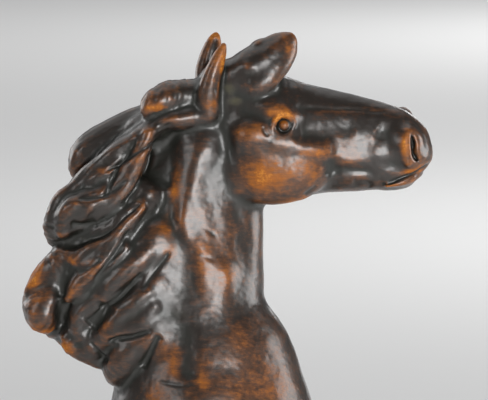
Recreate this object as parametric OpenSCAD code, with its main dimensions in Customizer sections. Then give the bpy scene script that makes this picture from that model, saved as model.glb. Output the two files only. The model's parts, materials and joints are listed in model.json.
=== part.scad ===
// Rearing horse statuette: hollow bronze castings, tenoned together, on a bronze
// ground and a stone plinth. +X is the way the horse faces, -Y its right side, and
// the origin is the centre of the underside.

/* [Horse] */
// Length of the head from poll to muzzle, which sets the size of the whole horse
head_len = 100; // [90:1:108]
// Wall thickness of the hollow castings
wall = 4.5; // [3.5:0.5:5]
// How far the left hind hoof stands behind the right one
hind_step = 13; // [0:1:20]
// How much lower the left forearm is held than the right one, in degrees
fore_drop = 17; // [0:1:25]

/* [Ground and plinth] */
// Length of the stone plinth
plinth_l = 252; // [246:1:280]
// Width of the stone plinth
plinth_w = 132; // [126:1:160]
// Height of the stone plinth
plinth_h = 28; // [22:1:45]
// Thickness of the bronze ground
ground_h = 16; // [14:1:20]
// Length of the bronze ground
ground_l = 232; // [230:1:240]
// Width of the bronze ground
ground_w = 104; // [96:1:116]
// Thickness of the felt under the plinth
felt_t = 2; // [1:0.5:3]

/* [Fixings] */
// Radius of the threaded studs in the hooves and the tail
stud_r = 2.5; // [2:0.5:3]
// Radius of the bolts that hold the ground on the plinth
bolt_r = 3; // [2.5:0.5:4]

/* [Hidden] */

bronze = "#5b3a22";
dark_bronze = "#35281d";
steel = "#9a9da1";
big = 600;                               // larger than the whole object
round_fn = 48;                           // sides that stand for a true circle
fit_gap = 0.03;                          // radial clearance round a pressed pin
u = head_len / 100;                      // the horse's own unit
ground_top = felt_t + plinth_h + ground_h;
plinth_top = felt_t + plinth_h;

// Everything about the horse is in its own units, from the ground's top upwards.
// A station is [x, y, z, half depth, half width] on the middle line of a form.
skull = [[30, 0, 440, 14, 11], [44, 0, 436, 25, 16], [60, 0, 432.5, 28.5, 19.5],
         [78, 0, 431, 23.5, 16.5], [94, 0, 429, 21, 13], [108, 0, 427.5, 18.8, 12],
         [119.5, 0, 426, 16.8, 13], [127.6, 0, 424.5, 11.5, 9.5], [131.6, 0, 424, 4, 4]];
neck = [[40, 0, 452, 12, 10], [35, 0, 436, 22, 13], [30, 0, 416, 27, 15],
        [27.5, 0, 395, 29.5, 16.5], [26, 0, 373, 31, 19], [27, 0, 350, 33.5, 24],
        [31, 0, 329, 38.5, 30], [34.5, 0, 306, 42.5, 33.5], [37, 0, 284, 42, 35],
        [40, 0, 262, 34, 32]];
trunk = [[47, 0, 299, 34, 28], [38, 0, 281, 51, 37], [19, 0, 255, 55, 41],
         [-2, 0, 226, 51, 43], [-23, 0, 201, 46, 42], [-44, 0, 179, 42, 40],
         [-62, 0, 160, 41, 38], [-77, 0, 144, 32, 30], [-88, 0, 132, 18, 18],
         [-94, 0, 126, 5, 6]];
hind_leg = [[-66, 21, 166, 35, 17], [-52, 24, 148, 37, 19], [-38, 26, 126, 29, 17],
            [-38, 27, 106, 19, 13], [-48, 26, 88, 12, 9.5], [-57, 26, 73, 9.5, 7.5],
            [-52, 26, 57, 7.2, 6], [-45, 26, 42, 6, 5.2], [-38, 26, 27, 6.8, 6],
            [-29, 26, 15, 6, 6]];
hind_hoof = [[-33, 26, 20, 6.5, 6.5], [-26, 26, 8, 10.5, 9.5], [-21, 26, -3, 13, 12]];
foreleg = [[50, 25, 272, 24, 11], [58, 27, 254, 19, 12], [74, 28, 245, 13.5, 11],
           [94, 28, 243, 10.5, 9], [110, 28, 244, 8.5, 7.5], [119.5, 28, 239, 8.8, 7.8],
           [122, 28, 226, 6.5, 6], [119, 28, 210, 5.6, 5.2], [115, 28, 197, 6.8, 6],
           [108, 28, 188, 5.8, 5.8]];
fore_hoof = [[110, 28, 190, 6.5, 6.5], [102, 28, 182, 10, 9.5], [96, 28, 176, 12, 11]];
tail_lock = [[-84, 0, 160, 7, 7], [-100, 0, 162, 9, 9], [-114, 0, 146, 13, 12],
             [-121, 0, 116, 16, 14], [-117, 0, 82, 17, 15], [-107, 0, 46, 14, 12],
             [-98, 0, 18, 9, 8], [-93, 0, -3, 7, 6.5]];
ear_near = [[38, -12, 442, 8, 6], [37.5, -14, 453, 8, 6.5], [38, -15, 462, 6.5, 5],
            [38.5, -15, 471, 2, 1.5]];
ear_far = [[33, 11, 447, 7, 6], [32.5, 13, 458, 8, 6.5], [33.5, 14, 468, 6, 5],
           [35, 14, 478, 2, 1.5]];
forelock = [[46, -2, 456, 10, 9], [54, -4, 464, 9, 8.5], [62, -5, 471, 7, 7],
            [67.5, -5, 475.5, 5, 5], [69.5, -5, 478.5, 2, 2]];
// Locks of the mane, from the poll down
locks = [[[26, -3, 456, 7, 6], [17, -5, 455, 7, 7], [9, -7, 449, 7, 7], [5, -8, 441, 4, 4]],
         [[18, 0, 452, 9, 8], [2, 4, 444, 10, 9], [-14, 5, 434, 9, 8], [-25, 4, 422, 4, 4]],
         [[12, 0, 437, 11, 10], [-8, -1, 425, 12, 11], [-25, -1, 408, 10, 9],
          [-34, -1, 388, 5, 5]],
         [[10, -2, 416, 12, 12], [-8, -3, 398, 14, 13], [-27, -3, 378, 12, 11],
          [-37, -3, 359, 8, 8], [-38, -3, 350, 3, 3]],
         [[6, -3, 396, 13, 14], [-6, -5, 374, 16, 15], [-17, -5, 354, 14, 13],
          [-18, -5, 337, 9, 9], [-12, -5, 325, 3, 3]],
         [[12, -12, 410, 8, 7], [6, -15, 384, 9, 8], [-1, -17, 360, 9, 8],
          [-8, -16, 336, 4, 4]],
         [[14, 12, 414, 8, 7], [4, 15, 386, 10, 8], [-10, 15, 360, 9, 8],
          [-18, 12, 334, 4, 4]]];

// Seam of head and neck: a point on it, and its tilt from the vertical
head_seam = [38.8, 0, 428.6];
head_seam_tilt = 60.4;
neck_seam_z = 306;
head_tenon = [7, 24];                    // radius, length
neck_tenon = [15, 36];
foreleg_tenon = [5, 28];
hind_tenon = [6, 46];
tail_tenon_size = [3.5, 28];
sleeve_wall = 2.5;
pin_r = 1.6;
pin_len = 22;
mane_pin_z = [345, 375, 405];            // heights of the pins in the mane
plug_r = 3;
plugged = [2, 3, 4];                     // stations of the trunk with a core plug under them
hind_stud = [-25, 26];                   // place of the right one, mirrored
tail_stud_x = -94;
pocket_r = 8;
pocket_h = 8;
washer_t = 1;
nut_h = 4;
nut_r = 4.6;
stud_up = 10;                            // how far a stud reaches into a hoof
bolt_x = 84;
bolt_y = 30;
bolt_reach = 9;
sink_r = 9;
sink_h = 8;
head_h = 4;
ground_edge = [[0, 1], [0.45, 1], [0.8, 0.975], [1, 0.93]];  // height, breadth as shares

// A smooth curve through four values, at t between the middle two
function curve(a, b, c, d, t) =
    0.5 * (2 * b + (c - a) * t + (2 * a - 5 * b + 4 * c - d) * t * t
           + (3 * b - a - 3 * c + d) * t * t * t);
// Stations with steps - 1 more between each pair
function refined(s, steps) =
    [for (i = [0 : len(s) - 2])
        for (k = [0 : steps - 1])
            curve(s[max(i - 1, 0)], s[i], s[i + 1], s[min(i + 2, len(s) - 1)], k / steps),
     s[len(s) - 1]];
function unit(v) = v / norm(v);
function middle(s) = [s[0], s[1], s[2]];
function along(s, i) =
    unit(middle(s[min(i + 1, len(s) - 1)]) - middle(s[max(i - 1, 0)]));
function across(t) = unit([0, 1, 0] - t[1] * t);
// The ring of points round station i
function ring(s, i, sides, inset) =
    let (t = along(s, i), b = across(t), n = cross(t, b))
    [for (j = [0 : sides - 1])
        middle(s[i]) + max(s[i][3] - inset, 0.5) * cos(360 * j / sides) * n
                     + max(s[i][4] - inset, 0.5) * sin(360 * j / sides) * b];
// The stations from first to last
function part_of(s, first, last) = [for (i = [first : last]) s[i]];
// Stations mirrored to the horse's right side
function to_right(s) = [for (p = s) [p[0], -p[1], p[2], p[3], p[4]]];
// Stations stepped back by a distance that grows towards the hoof
function stepped(s, back) =
    [for (p = s) [p[0] - back * (hind_leg[0][2] - p[2]) / hind_leg[0][2], p[1], p[2], p[3], p[4]]];
// Stations turned nose-down about the elbow
function lowered(s, angle) =
    let (c = [58, 254])
    [for (p = s)
        let (x = p[0] - c[0], z = p[2] - c[1], a = angle * min(max(x / 10, 0), 1))
        [c[0] + x * cos(a) + z * sin(a), p[1], c[1] - x * sin(a) + z * cos(a), p[3], p[4]]];

// A closed skin round the rings of a row of stations
module skin(stations, steps = 2, sides = 18, inset = 0) {
    s = refined(stations * u, steps);
    last = len(s) - 1;
    points = [for (i = [0 : last]) each ring(s, i, sides, inset)];
    faces = [
        [for (j = [sides - 1 : -1 : 0]) j],
        [for (j = [0 : sides - 1]) last * sides + j],
        for (i = [0 : last - 1])
            for (j = [0 : sides - 1])
                for (half = [0, 1])
                    let (k = (j + 1) % sides, a = i * sides, b = a + sides)
                    half == 0 ? [a + j, a + k, b + k] : [a + j, b + k, b + j]];
    polyhedron(points, faces);
}

// Keeps a free-form casting together as one mesh. A hollow in it is opened by a
// narrow bore here, and the true bore is cut round that afterwards.
module cast_in_one() resize([0, 0, 0]) union() children();

// Lifts the horse onto the ground
module on_ground() translate([0, 0, ground_top]) children();

// A round bar with its middle at a point, along an axis given by two turns
module bar(at, turn, r, length) {
    translate(at * u) rotate(turn) cylinder(r = r, h = length, center = true, $fn = round_fn);
}

// Everything in front of the seam of head and neck, less a depth
module ahead_of_head_seam(depth = 0) {
    translate(head_seam * u) rotate([0, head_seam_tilt, 0])
        translate([-big / 2, -big / 2, depth]) cube(big);
}

module behind_head_seam(depth = 0) {
    translate(head_seam * u) rotate([0, head_seam_tilt, 0])
        translate([-big / 2, -big / 2, -big - depth]) cube(big);
}

module above_neck_seam(depth = 0) {
    translate([-big / 2, -big / 2, neck_seam_z * u + depth]) cube(big);
}

module below_neck_seam(depth = 0) {
    translate([-big / 2, -big / 2, neck_seam_z * u - depth - big]) cube(big);
}

module neck_form(inset = 0) skin(neck, 2, 22, inset);
module skull_form(inset = 0) skin(skull, 2, 22, inset);
module trunk_form(inset = 0) {
    skin(part_of(trunk, 0, inset > 0 ? len(trunk) - 3 : len(trunk) - 1), 2, 26, inset);
    skin(part_of(neck, 6, 9), 2, 22, inset);
}

module head_tenon_bar(r, extra = 0) {
    bar(head_seam, [0, head_seam_tilt, 0], r, head_tenon[1] + extra);
}
module neck_tenon_bar(r, extra = 0) {
    bar([34, 0, neck_seam_z], [0, 0, 0], r, neck_tenon[1] + extra);
}
module foreleg_tenon_bar(side, r, extra = 0) {
    bar([60, side * 27, 246], [0, 90, 0], r, foreleg_tenon[1] + extra);
}
module hind_tenon_bar(side, r, extra = 0) {
    bar([-42, side * 25, 135], [0, 0, 0], r, hind_tenon[1] + extra);
}
module tail_tenon_bar(r, extra = 0) {
    bar([-95, 0, 160], [0, 90, 0], r, tail_tenon_size[1] + extra);
}
module mane_pin_bars(r, extra = 0) {
    for (z = mane_pin_z) bar([-5, 0, z], [0, 90, 0], r, pin_len + extra);
}
// Bars through the belly's wall, square to the line of the trunk
module plug_bars(r, first, length) {
    for (i = plugged)
        let (t = along(trunk, i), s = trunk[i])
        translate(middle(s) * u) rotate([0, atan2(-t[2], t[0]) - 90, 0])
            translate([0, 0, s[3] * u - first - length])
                cylinder(r = r, h = length, $fn = round_fn);
}
// Studs of the hind hooves: side is 1 for left and -1 for right
function hind_stud_x(side) = hind_stud[0] - (side > 0 ? hind_step : 0);
module hind_stud_bar(side, r, low, high) {
    translate([hind_stud_x(side) * u, side * hind_stud[1] * u, low])
        cylinder(r = r, h = high - low, $fn = round_fn);
}
module tail_stud_bar(r, low, high) {
    translate([tail_stud_x * u, 0, low]) cylinder(r = r, h = high - low, $fn = round_fn);
}
// A child at each stud's place, at the top of its pocket
module at_studs() {
    for (p = [[hind_stud_x(1), hind_stud[1]], [hind_stud_x(-1), -hind_stud[1]], [tail_stud_x, 0]])
        translate([p[0] * u, p[1] * u, plinth_top + pocket_h]) children();
}
module at_bolts() {
    for (x = [-bolt_x, bolt_x]) for (y = [-bolt_y, bolt_y]) translate([x, y, 0]) children();
}

module head_casting() color(bronze) on_ground() difference() {
    cast_in_one() difference() {
        union() {
            skull_form();
            neck_form();
            skin(ear_near, 2, 12);
            skin(ear_far, 2, 12);
            skin(forelock, 2, 12);
            for (side = [-1, 1])
                translate([55, side * 11, 428] * u) scale([19, 11, 19] * u) sphere(1, $fn = 20);
        }
        behind_head_seam();
        intersection() {
            skin(part_of(skull, 1, 6), 2, 18, wall);
            ahead_of_head_seam(wall);
        }
        head_tenon_bar(head_tenon[0] - 1, 1);
    }
    head_tenon_bar(head_tenon[0] + fit_gap, 1);
}

module neck_casting() color(bronze) on_ground() difference() {
    cast_in_one() difference() {
        neck_form();
        ahead_of_head_seam();
        below_neck_seam();
        intersection() {
            neck_form(wall);
            behind_head_seam(wall);
            above_neck_seam(wall);
        }
        neck_tenon_bar(neck_tenon[0] - 1, 1);
    }
    head_tenon_bar(head_tenon[0] + fit_gap, 1);
    neck_tenon_bar(neck_tenon[0] + fit_gap, 1);
    mane_pin_bars(pin_r + fit_gap, 1);
}

module mane_casting() color(dark_bronze) on_ground() difference() {
    cast_in_one() difference() {
        for (lock = locks) skin(lock, 3, 12);
        neck_form();
        skull_form();
        skin(ear_near, 2, 12);
        skin(ear_far, 2, 12);
    }
    mane_pin_bars(pin_r + fit_gap, 1);
}

module trunk_casting() color(bronze) on_ground() difference() {
    cast_in_one() difference() {
        trunk_form();
        above_neck_seam();
        intersection() {
            trunk_form(wall);
            below_neck_seam(wall);
        }
        neck_tenon_bar(neck_tenon[0] - 1, 1);
    }
    neck_tenon_bar(neck_tenon[0] + fit_gap, 1);
    for (side = [-1, 1]) {
        foreleg_tenon_bar(side, foreleg_tenon[0] + fit_gap, 1);
        hind_tenon_bar(side, hind_tenon[0] + fit_gap, 1);
    }
    tail_tenon_bar(tail_tenon_size[0] + fit_gap, 1);
    plug_bars(plug_r + fit_gap, -2, wall + 4);
}

module foreleg_solid(side, leg, hoof) color(bronze) on_ground() difference() {
    cast_in_one() difference() {
        union() {
            skin(leg, 2, 14);
            skin(hoof, 1, 14);
        }
        trunk_form();
    }
    foreleg_tenon_bar(side, foreleg_tenon[0] + fit_gap, 1);
}

module hind_leg_solid(side, leg, hoof) color(bronze) on_ground() difference() {
    cast_in_one() difference() {
        union() {
            skin(leg, 2, 14);
            skin(hoof, 1, 14);
        }
        trunk_form();
        translate([-big / 2, -big / 2, -big]) cube(big);
    }
    hind_tenon_bar(side, hind_tenon[0] + fit_gap, 1);
    hind_stud_bar(side, stud_r + fit_gap, -1, stud_up + 0.5);
}

module foreleg_left() {
    foreleg_solid(1, lowered(foreleg, fore_drop), lowered(fore_hoof, fore_drop));
}
module foreleg_right() foreleg_solid(-1, to_right(foreleg), to_right(fore_hoof));
module hind_leg_left() {
    hind_leg_solid(1, stepped(hind_leg, hind_step), stepped(hind_hoof, hind_step));
}
module hind_leg_right() hind_leg_solid(-1, to_right(hind_leg), to_right(hind_hoof));

module tail_casting() color(dark_bronze) on_ground() difference() {
    cast_in_one() difference() {
        skin(tail_lock, 2, 16);
        trunk_form();
        translate([-big / 2, -big / 2, -big]) cube(big);
    }
    tail_tenon_bar(tail_tenon_size[0] + fit_gap, 1);
    tail_stud_bar(stud_r + fit_gap, -1, stud_up + 0.5);
}

// Uneven rim of the ground, as a share of its breadth at an angle
function ground_rim(a) = 1 - 0.035 + 0.02 * cos(3 * a + 40) + 0.015 * cos(5 * a - 70);
function ground_point(a, breadth, z) =
    let (r = ground_rim(a) * breadth, c = cos(a), s = sin(a), round = pow(c * c * c * c + s * s * s * s, -0.25))
    [r * round * c * ground_l / 2, r * round * s * ground_w / 2, z];

module ground_form(sides = 48) {
    last = len(ground_edge) - 1;
    points = [for (e = ground_edge) for (j = [0 : sides - 1])
        ground_point(-360 * j / sides, e[1], plinth_top + e[0] * ground_h)];
    faces = [
        [for (j = [sides - 1 : -1 : 0]) j],
        [for (j = [0 : sides - 1]) last * sides + j],
        for (i = [0 : last - 1])
            for (j = [0 : sides - 1])
                for (half = [0, 1])
                    let (k = (j + 1) % sides, a = i * sides, b = a + sides)
                    half == 0 ? [a + j, a + k, b + k] : [a + j, b + k, b + j]];
    polyhedron(points, faces);
}

module ground_casting() color(dark_bronze) difference() {
    ground_form();
    at_studs() {
        translate([0, 0, -pocket_h - 1]) cylinder(r = pocket_r, h = pocket_h + 1, $fn = round_fn);
        cylinder(r = stud_r + fit_gap, h = ground_h, $fn = round_fn);
    }
    at_bolts() translate([0, 0, plinth_top - 1])
        cylinder(r = bolt_r + fit_gap, h = bolt_reach + 2, $fn = round_fn);
}

module plinth() color("#1d1c1b") difference() {
    translate([-plinth_l / 2, -plinth_w / 2, felt_t]) cube([plinth_l, plinth_w, plinth_h]);
    at_bolts() {
        translate([0, 0, felt_t - 1]) cylinder(r = sink_r, h = sink_h + 1, $fn = round_fn);
        cylinder(r = bolt_r + 0.5, h = big, $fn = round_fn);
    }
}

module head_joint_sleeve() color(bronze) on_ground() difference() {
    head_tenon_bar(head_tenon[0]);
    head_tenon_bar(head_tenon[0] - sleeve_wall, 1);
}

module neck_joint_sleeve() color(bronze) on_ground() difference() {
    neck_tenon_bar(neck_tenon[0]);
    neck_tenon_bar(neck_tenon[0] - sleeve_wall, 1);
}

module foreleg_tenons() color(bronze) on_ground() {
    for (side = [-1, 1]) foreleg_tenon_bar(side, foreleg_tenon[0]);
}

module hind_leg_tenons() color(bronze) on_ground() {
    for (side = [-1, 1]) hind_tenon_bar(side, hind_tenon[0]);
}

module tail_tenon() color(bronze) on_ground() tail_tenon_bar(tail_tenon_size[0]);

module mane_pins() color(bronze) on_ground() mane_pin_bars(pin_r);

module core_plugs() color(bronze) on_ground() plug_bars(plug_r, 0.3, wall - 0.3);

module hoof_studs() color(steel) on_ground() {
    for (side = [-1, 1])
        hind_stud_bar(side, stud_r, -ground_h + 1, stud_up);
}

module tail_stud() color(steel) on_ground() {
    tail_stud_bar(stud_r, -ground_h + 1, stud_up);
}

module ground_washers() color(steel) at_studs() translate([0, 0, -washer_t]) difference() {
    cylinder(r = pocket_r - 1.5, h = washer_t, $fn = round_fn);
    translate([0, 0, -1]) cylinder(r = stud_r + 0.2, h = washer_t + 2, $fn = round_fn);
}

module ground_nuts() color(steel) at_studs() translate([0, 0, -washer_t - nut_h]) difference() {
    cylinder(r = nut_r, h = nut_h, $fn = 6);
    translate([0, 0, -1]) cylinder(r = stud_r + fit_gap, h = nut_h + 2, $fn = round_fn);
}

module plinth_bolts() color(steel) at_bolts() {
    translate([0, 0, felt_t + sink_h - washer_t - head_h]) cylinder(r = bolt_r * 1.9, h = head_h, $fn = 6);
    translate([0, 0, felt_t + sink_h - washer_t])
        cylinder(r = bolt_r, h = plinth_h - sink_h + washer_t + bolt_reach, $fn = round_fn);
}

module plinth_washers() color(steel) at_bolts() {
    translate([0, 0, felt_t + sink_h - washer_t]) difference() {
        cylinder(r = sink_r - 1.5, h = washer_t, $fn = round_fn);
        translate([0, 0, -1]) cylinder(r = bolt_r + 0.2, h = washer_t + 2, $fn = round_fn);
    }
}

module felt_base() color("#22321f") {
    translate([-plinth_l / 2 + 2, -plinth_w / 2 + 2, 0]) cube([plinth_l - 4, plinth_w - 4, felt_t]);
}

head_casting();
neck_casting();
mane_casting();
trunk_casting();
foreleg_left();
foreleg_right();
hind_leg_left();
hind_leg_right();
tail_casting();
ground_casting();
plinth();
head_joint_sleeve();
neck_joint_sleeve();
foreleg_tenons();
hind_leg_tenons();
tail_tenon();
mane_pins();
core_plugs();
hoof_studs();
tail_stud();
ground_washers();
ground_nuts();
plinth_bolts();
plinth_washers();
felt_base();
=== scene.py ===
import json
import math

import bmesh
import bpy
import numpy as np
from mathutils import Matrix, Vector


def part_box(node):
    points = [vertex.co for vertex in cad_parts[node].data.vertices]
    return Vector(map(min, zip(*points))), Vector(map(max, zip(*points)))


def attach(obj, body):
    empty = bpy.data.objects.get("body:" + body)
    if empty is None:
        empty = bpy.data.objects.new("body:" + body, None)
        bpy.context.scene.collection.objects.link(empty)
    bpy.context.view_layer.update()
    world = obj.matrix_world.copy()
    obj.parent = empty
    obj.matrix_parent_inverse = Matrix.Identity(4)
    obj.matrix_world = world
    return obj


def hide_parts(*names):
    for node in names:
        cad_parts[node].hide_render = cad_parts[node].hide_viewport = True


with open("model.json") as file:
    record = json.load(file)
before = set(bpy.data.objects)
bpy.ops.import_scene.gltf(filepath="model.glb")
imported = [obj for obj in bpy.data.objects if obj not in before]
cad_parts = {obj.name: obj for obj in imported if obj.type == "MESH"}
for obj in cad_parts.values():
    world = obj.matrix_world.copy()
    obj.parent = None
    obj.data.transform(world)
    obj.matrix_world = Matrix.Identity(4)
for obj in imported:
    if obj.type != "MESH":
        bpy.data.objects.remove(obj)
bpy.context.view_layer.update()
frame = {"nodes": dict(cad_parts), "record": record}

import openvdb
from mathutils import Vector

bl_info = {
    "name": "Rearing horse bronze",
    "version": (1, 0, 0),
    "blender": (4, 5, 0),
    "location": "3D View > Sidebar > Bronze",
    "description": "Models and patinates a rearing horse statuette round its castings",
    "category": "Object",
}

MM = 0.001
AIR = 40.0                      # mm: the distance held by clay that nothing has touched
GROUND_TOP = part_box("ground_casting")[1][2] / MM
NECK_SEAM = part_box("neck_casting")[0][2] / MM
NEAR, FAR = -1, 1               # the horse's right side faces -Y

# ------------------------------------------------------------------ numbers of the horse
# A station is [x, y, z, half depth, half width] in millimetres on a form's middle line.
# y is given for the left side, and mirrored for the right one.
NECK = [[42, 0, 496, 11, 10], [36, 0, 482, 20, 12.5], [30.5, 0, 462, 26, 14.5],
        [27.5, 0, 441, 29, 16.5], [26, 0, 419, 30.5, 19], [26.5, 0, 404, 30.5, 21.5],
        [28.5, 0, 390, 33.5, 25], [32, 0, 374, 40, 29.5], [33, 0, 356, 43.5, 33.5],
        [37, 0, 332, 42, 35], [40, 0, 310, 34, 32]]
TRUNK = [[47, 0, 345, 33, 28], [38, 0, 327, 50, 36], [19, 0, 301, 54, 40],
         [-2, 0, 272, 50.5, 42], [-23, 0, 247, 44, 40], [-44, 0, 225, 40, 36],
         [-62, 0, 206, 38, 32], [-77, 0, 190, 29, 26], [-88, 0, 178, 16, 16]]
NOSE = [[42, 0, 498, 13, 12], [58, 0, 493, 13.5, 15.5], [73, 0, 488.5, 13, 10.6],
        [90, 0, 484.9, 12.6, 8.6], [104, 0, 482.7, 11.6, 8.4], [114, 0, 480.3, 10.4, 9],
        [120.5, 0, 477.5, 8.2, 7.5]]
FACE = [[52, 0, 482, 18, 16], [62, 0, 480, 17, 17.6], [78, 0, 477, 16.5, 14.4], [94, 0, 474, 15, 12],
        [108, 0, 472, 13, 11.4], [118, 0, 471.5, 11, 10.8], [123.2, 0, 471, 7.4, 7.5]]
JAW = [[47, 0, 468, 16, 11], [58, 0, 465.6, 16.4, 13], [68, 0, 463.6, 14, 11.5],
       [78, 0, 462.3, 9.8, 9], [90, 0, 461.8, 8, 8.2], [100, 0, 461.6, 7.6, 8],
       [110, 0, 461.5, 6.6, 8.2], [117, 0, 461.4, 5.8, 7]]
EAR_NEAR = [[32.5, -10, 489, 5.4, 5], [32.2, -11.8, 498, 5.1, 4.8], [34.8, -13, 508, 3.9, 3.8],
            [37.4, -13.8, 515, 2.7, 2.6], [38.9, -14, 518.8, 1.3, 1.3]]
EAR_FAR = [[32, 9, 489, 6, 5], [31.6, 11, 498, 5.6, 4.8], [31.9, 12.6, 507, 5.6, 4.2],
           [33.6, 13.4, 515.4, 4.4, 3.2], [35, 13.8, 520.4, 2.6, 2], [35.6, 13.8, 522.2, 1.2, 1.1]]
FORELOCK = [[37, -2, 502, 9, 8.5], [45.5, -5.5, 505.4, 8.4, 9.5], [53, -7.5, 509.2, 9.4, 9.4],
            [59, -8, 512.8, 9, 7.6], [63.6, -8, 516.8, 7.6, 5.6], [66.8, -8, 520.2, 5, 3.6],
            [68.2, -8, 522.4, 2.6, 1.9]]
FORELEG = [[50, 24, 318, 25, 11], [58, 27, 300, 20, 12.5], [74, 28, 291, 14, 11],
           [94, 28, 289, 10, 8.6], [109, 28, 290, 8.2, 7.2], [118.5, 28, 286, 8.9, 7.9],
           [121.4, 28, 272, 6, 5.4], [119, 28, 256, 5.3, 4.6], [115.5, 28, 244, 6.6, 5.6],
           [108.5, 28, 235.5, 5.4, 5.2]]
FORE_HOOF = [[110.5, 28, 237.5, 6, 6], [103, 28, 229.5, 8.6, 8.2], [98.5, 28, 224.5, 10.6, 9.8]]
HIND_LEG = [[-64, 20, 208, 36, 18], [-51, 23, 193, 36, 19], [-39, 25, 172, 28, 17],
            [-38, 26, 152, 18.5, 13], [-47, 26, 134, 12, 9.6], [-55.5, 26, 119.5, 9.6, 7.4],
            [-52, 26, 103, 6.9, 5.6], [-45, 26, 88, 5.8, 4.8], [-38.5, 26, 74, 6.9, 5.8],
            [-30.5, 26, 63, 5.6, 5.6]]
HIND_HOOF = [[-33, 26, 65, 6, 6], [-26.5, 26, 55, 9.4, 8.8], [-21.5, 26, 45, 12, 11]]
HOCK = [[-61, 26, 127, 5, 4], [-64.5, 26, 122, 4, 3.4]]
TENDON = [[-61, 26, 116, 3, 2.6], [-53.5, 26, 96, 2.4, 2.2], [-45, 26, 76, 3, 2.8]]
ELBOW = (58, 300)
FORE_DROP = 17                  # degrees that the left forearm is held lower
HIND_STEP = 13                  # mm that the left hind hoof stands further back
HEAD_SEAM = (38.8, 474.6)
HEAD_SEAM_TILT = 60.4           # degrees from the vertical, of the way out of the seam
MANE_SEAM = ((24, 503), (-12, 352))
# The blocks of clay, as two corners.
HEAD_BLOCK = ((22, -26, 438), (134, 26, 528))
NECK_BLOCK = ((-54, -42, NECK_SEAM - 7), (86, 42, 514))
BODY_BLOCK = ((-108, -50, GROUND_TOP - 3), (134, 50, NECK_SEAM + 9))
TAIL_BLOCK = ((-139, -24, GROUND_TOP - 3), (-80, 24, 222))

# The solid mane behind the locks: [centre x, y, z], [half sizes], pitch in degrees.
MANE_BULK = [([9, 0, 482], [16, 9, 9], 25), ([-4, 1, 466], [17, 9, 12], 35),
             ([-16, 0, 444], [17, 10, 12], 22), ([-10, 0, 436], [14, 11, 16], 30),
             ([-20, 0, 413], [22, 12, 19], 45), ([-8, -1, 397], [18, 13, 17], 50),
             ([-2, -2, 382], [10, 12, 11], 60), ([9, -13, 428], [12, 7, 15], 30),
             ([8, -15, 408], [12, 7, 14], 20), ([8, -17, 392], [10, 7, 10], 20),
             ([-30, -1, 399], [13, 8, 10], 45), ([-24, -2, 389], [9, 7, 6], 40)]
# Locks on the horse's right side, then on its left.
LOCKS_RIGHT = [
    [[31, -3, 495, 8, 9], [22, -5, 496, 7.8, 8], [14, -7.5, 495.4, 7.4, 8], [8.2, -9, 492.4, 5.8, 6.5],
     [6.4, -9.5, 488.6, 2.8, 3]],
    [[27, -9, 488, 5.4, 5.5], [17, -10.5, 486, 5, 6], [9, -10.5, 482.6, 4.6, 6], [2.5, -9.5, 479, 3.6, 5]],
    [[12, -8, 483, 4.4, 5], [4.4, -9.5, 479, 4.4, 5.4], [-5, -9.5, 474, 4.4, 5.4],
     [-13.2, -9, 467.8, 4, 5], [-21, -7.5, 462, 3.6, 4.4], [-26, -6, 458, 2.4, 3]],
    [[6, -12, 479, 2.4, 3], [3, -14, 472.4, 3.2, 3.4], [-1.4, -14, 466.5, 4, 3.8], [-6, -13, 459, 4, 3.8],
     [-11, -11.5, 452.5, 3, 3]],
    [[1, -11, 470.4, 3, 3.6], [-8.6, -12, 465.2, 3.6, 4], [-16, -11.5, 461.4, 3.6, 4],
     [-23.5, -9, 457.6, 2.4, 3]],
    [[-3, -9, 458, 8, 8], [-14, -9.5, 451, 9, 9], [-25, -7.5, 445, 9.6, 8.5], [-32.5, -5, 439.6, 8, 7],
     [-35, -3.5, 433.6, 4, 4]],
    [[6, -8, 453, 7, 8], [-5, -9, 440, 9, 10], [-17, -8.5, 428.5, 10.5, 10.5], [-30, -6, 418, 11, 9],
     [-38, -4.5, 407, 9.6, 8], [-40.5, -4, 399.5, 6.4, 6.5]],
    [[9, -11, 434, 8, 8], [-3, -11.5, 421, 9, 9], [-14, -10.5, 409, 10, 9], [-22, -8, 399, 8, 8],
     [-27.5, -6, 391, 5, 5]],
    [[10, -14, 414, 7.6, 7], [0, -14, 404, 8.4, 8], [-11, -12, 394, 8, 8], [-18, -9, 386, 5.4, 6]],
    [[10, -15.5, 398, 6.4, 6.5], [2, -15.5, 390.5, 8, 7.6], [-4, -13.5, 382.4, 8.6, 8.6],
     [-7.6, -11, 375.6, 6.4, 7], [-8.6, -9, 371.8, 3.2, 4]],
]
LOCKS_LEFT = [
    [[14, 5, 487, 8, 8], [1, 7, 482, 8.6, 8], [-12.5, 7, 475.4, 8.6, 8], [-21.5, 6.5, 468.6, 8, 7.5],
     [-24.8, 5.5, 462, 4, 4]],
    [[10, 10, 474, 6, 6], [0, 12, 464, 7, 6], [-12, 11, 455, 7.5, 6.5], [-22, 8, 448, 5, 5]],
    [[4, 9, 458, 7, 8], [-10, 10, 448, 9, 8], [-24, 7, 442, 8, 7.5], [-31.5, 5, 435, 4, 4]],
    [[9, 9, 447, 7, 8], [-3, 11, 436, 9, 9], [-17, 10, 424, 10, 9], [-30, 7, 410, 9, 8],
     [-36, 5, 399, 4.4, 5]],
    [[11, 13, 432, 7, 7], [0, 14, 418, 8.4, 8], [-11, 13, 404, 8.4, 8], [-20, 9, 392, 4.4, 5]],
    [[12, 16, 414, 6.4, 7], [3, 17, 400, 8, 7.6], [-5, 15, 387, 8.4, 8], [-9, 11, 376, 4.4, 5]],
]
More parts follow.
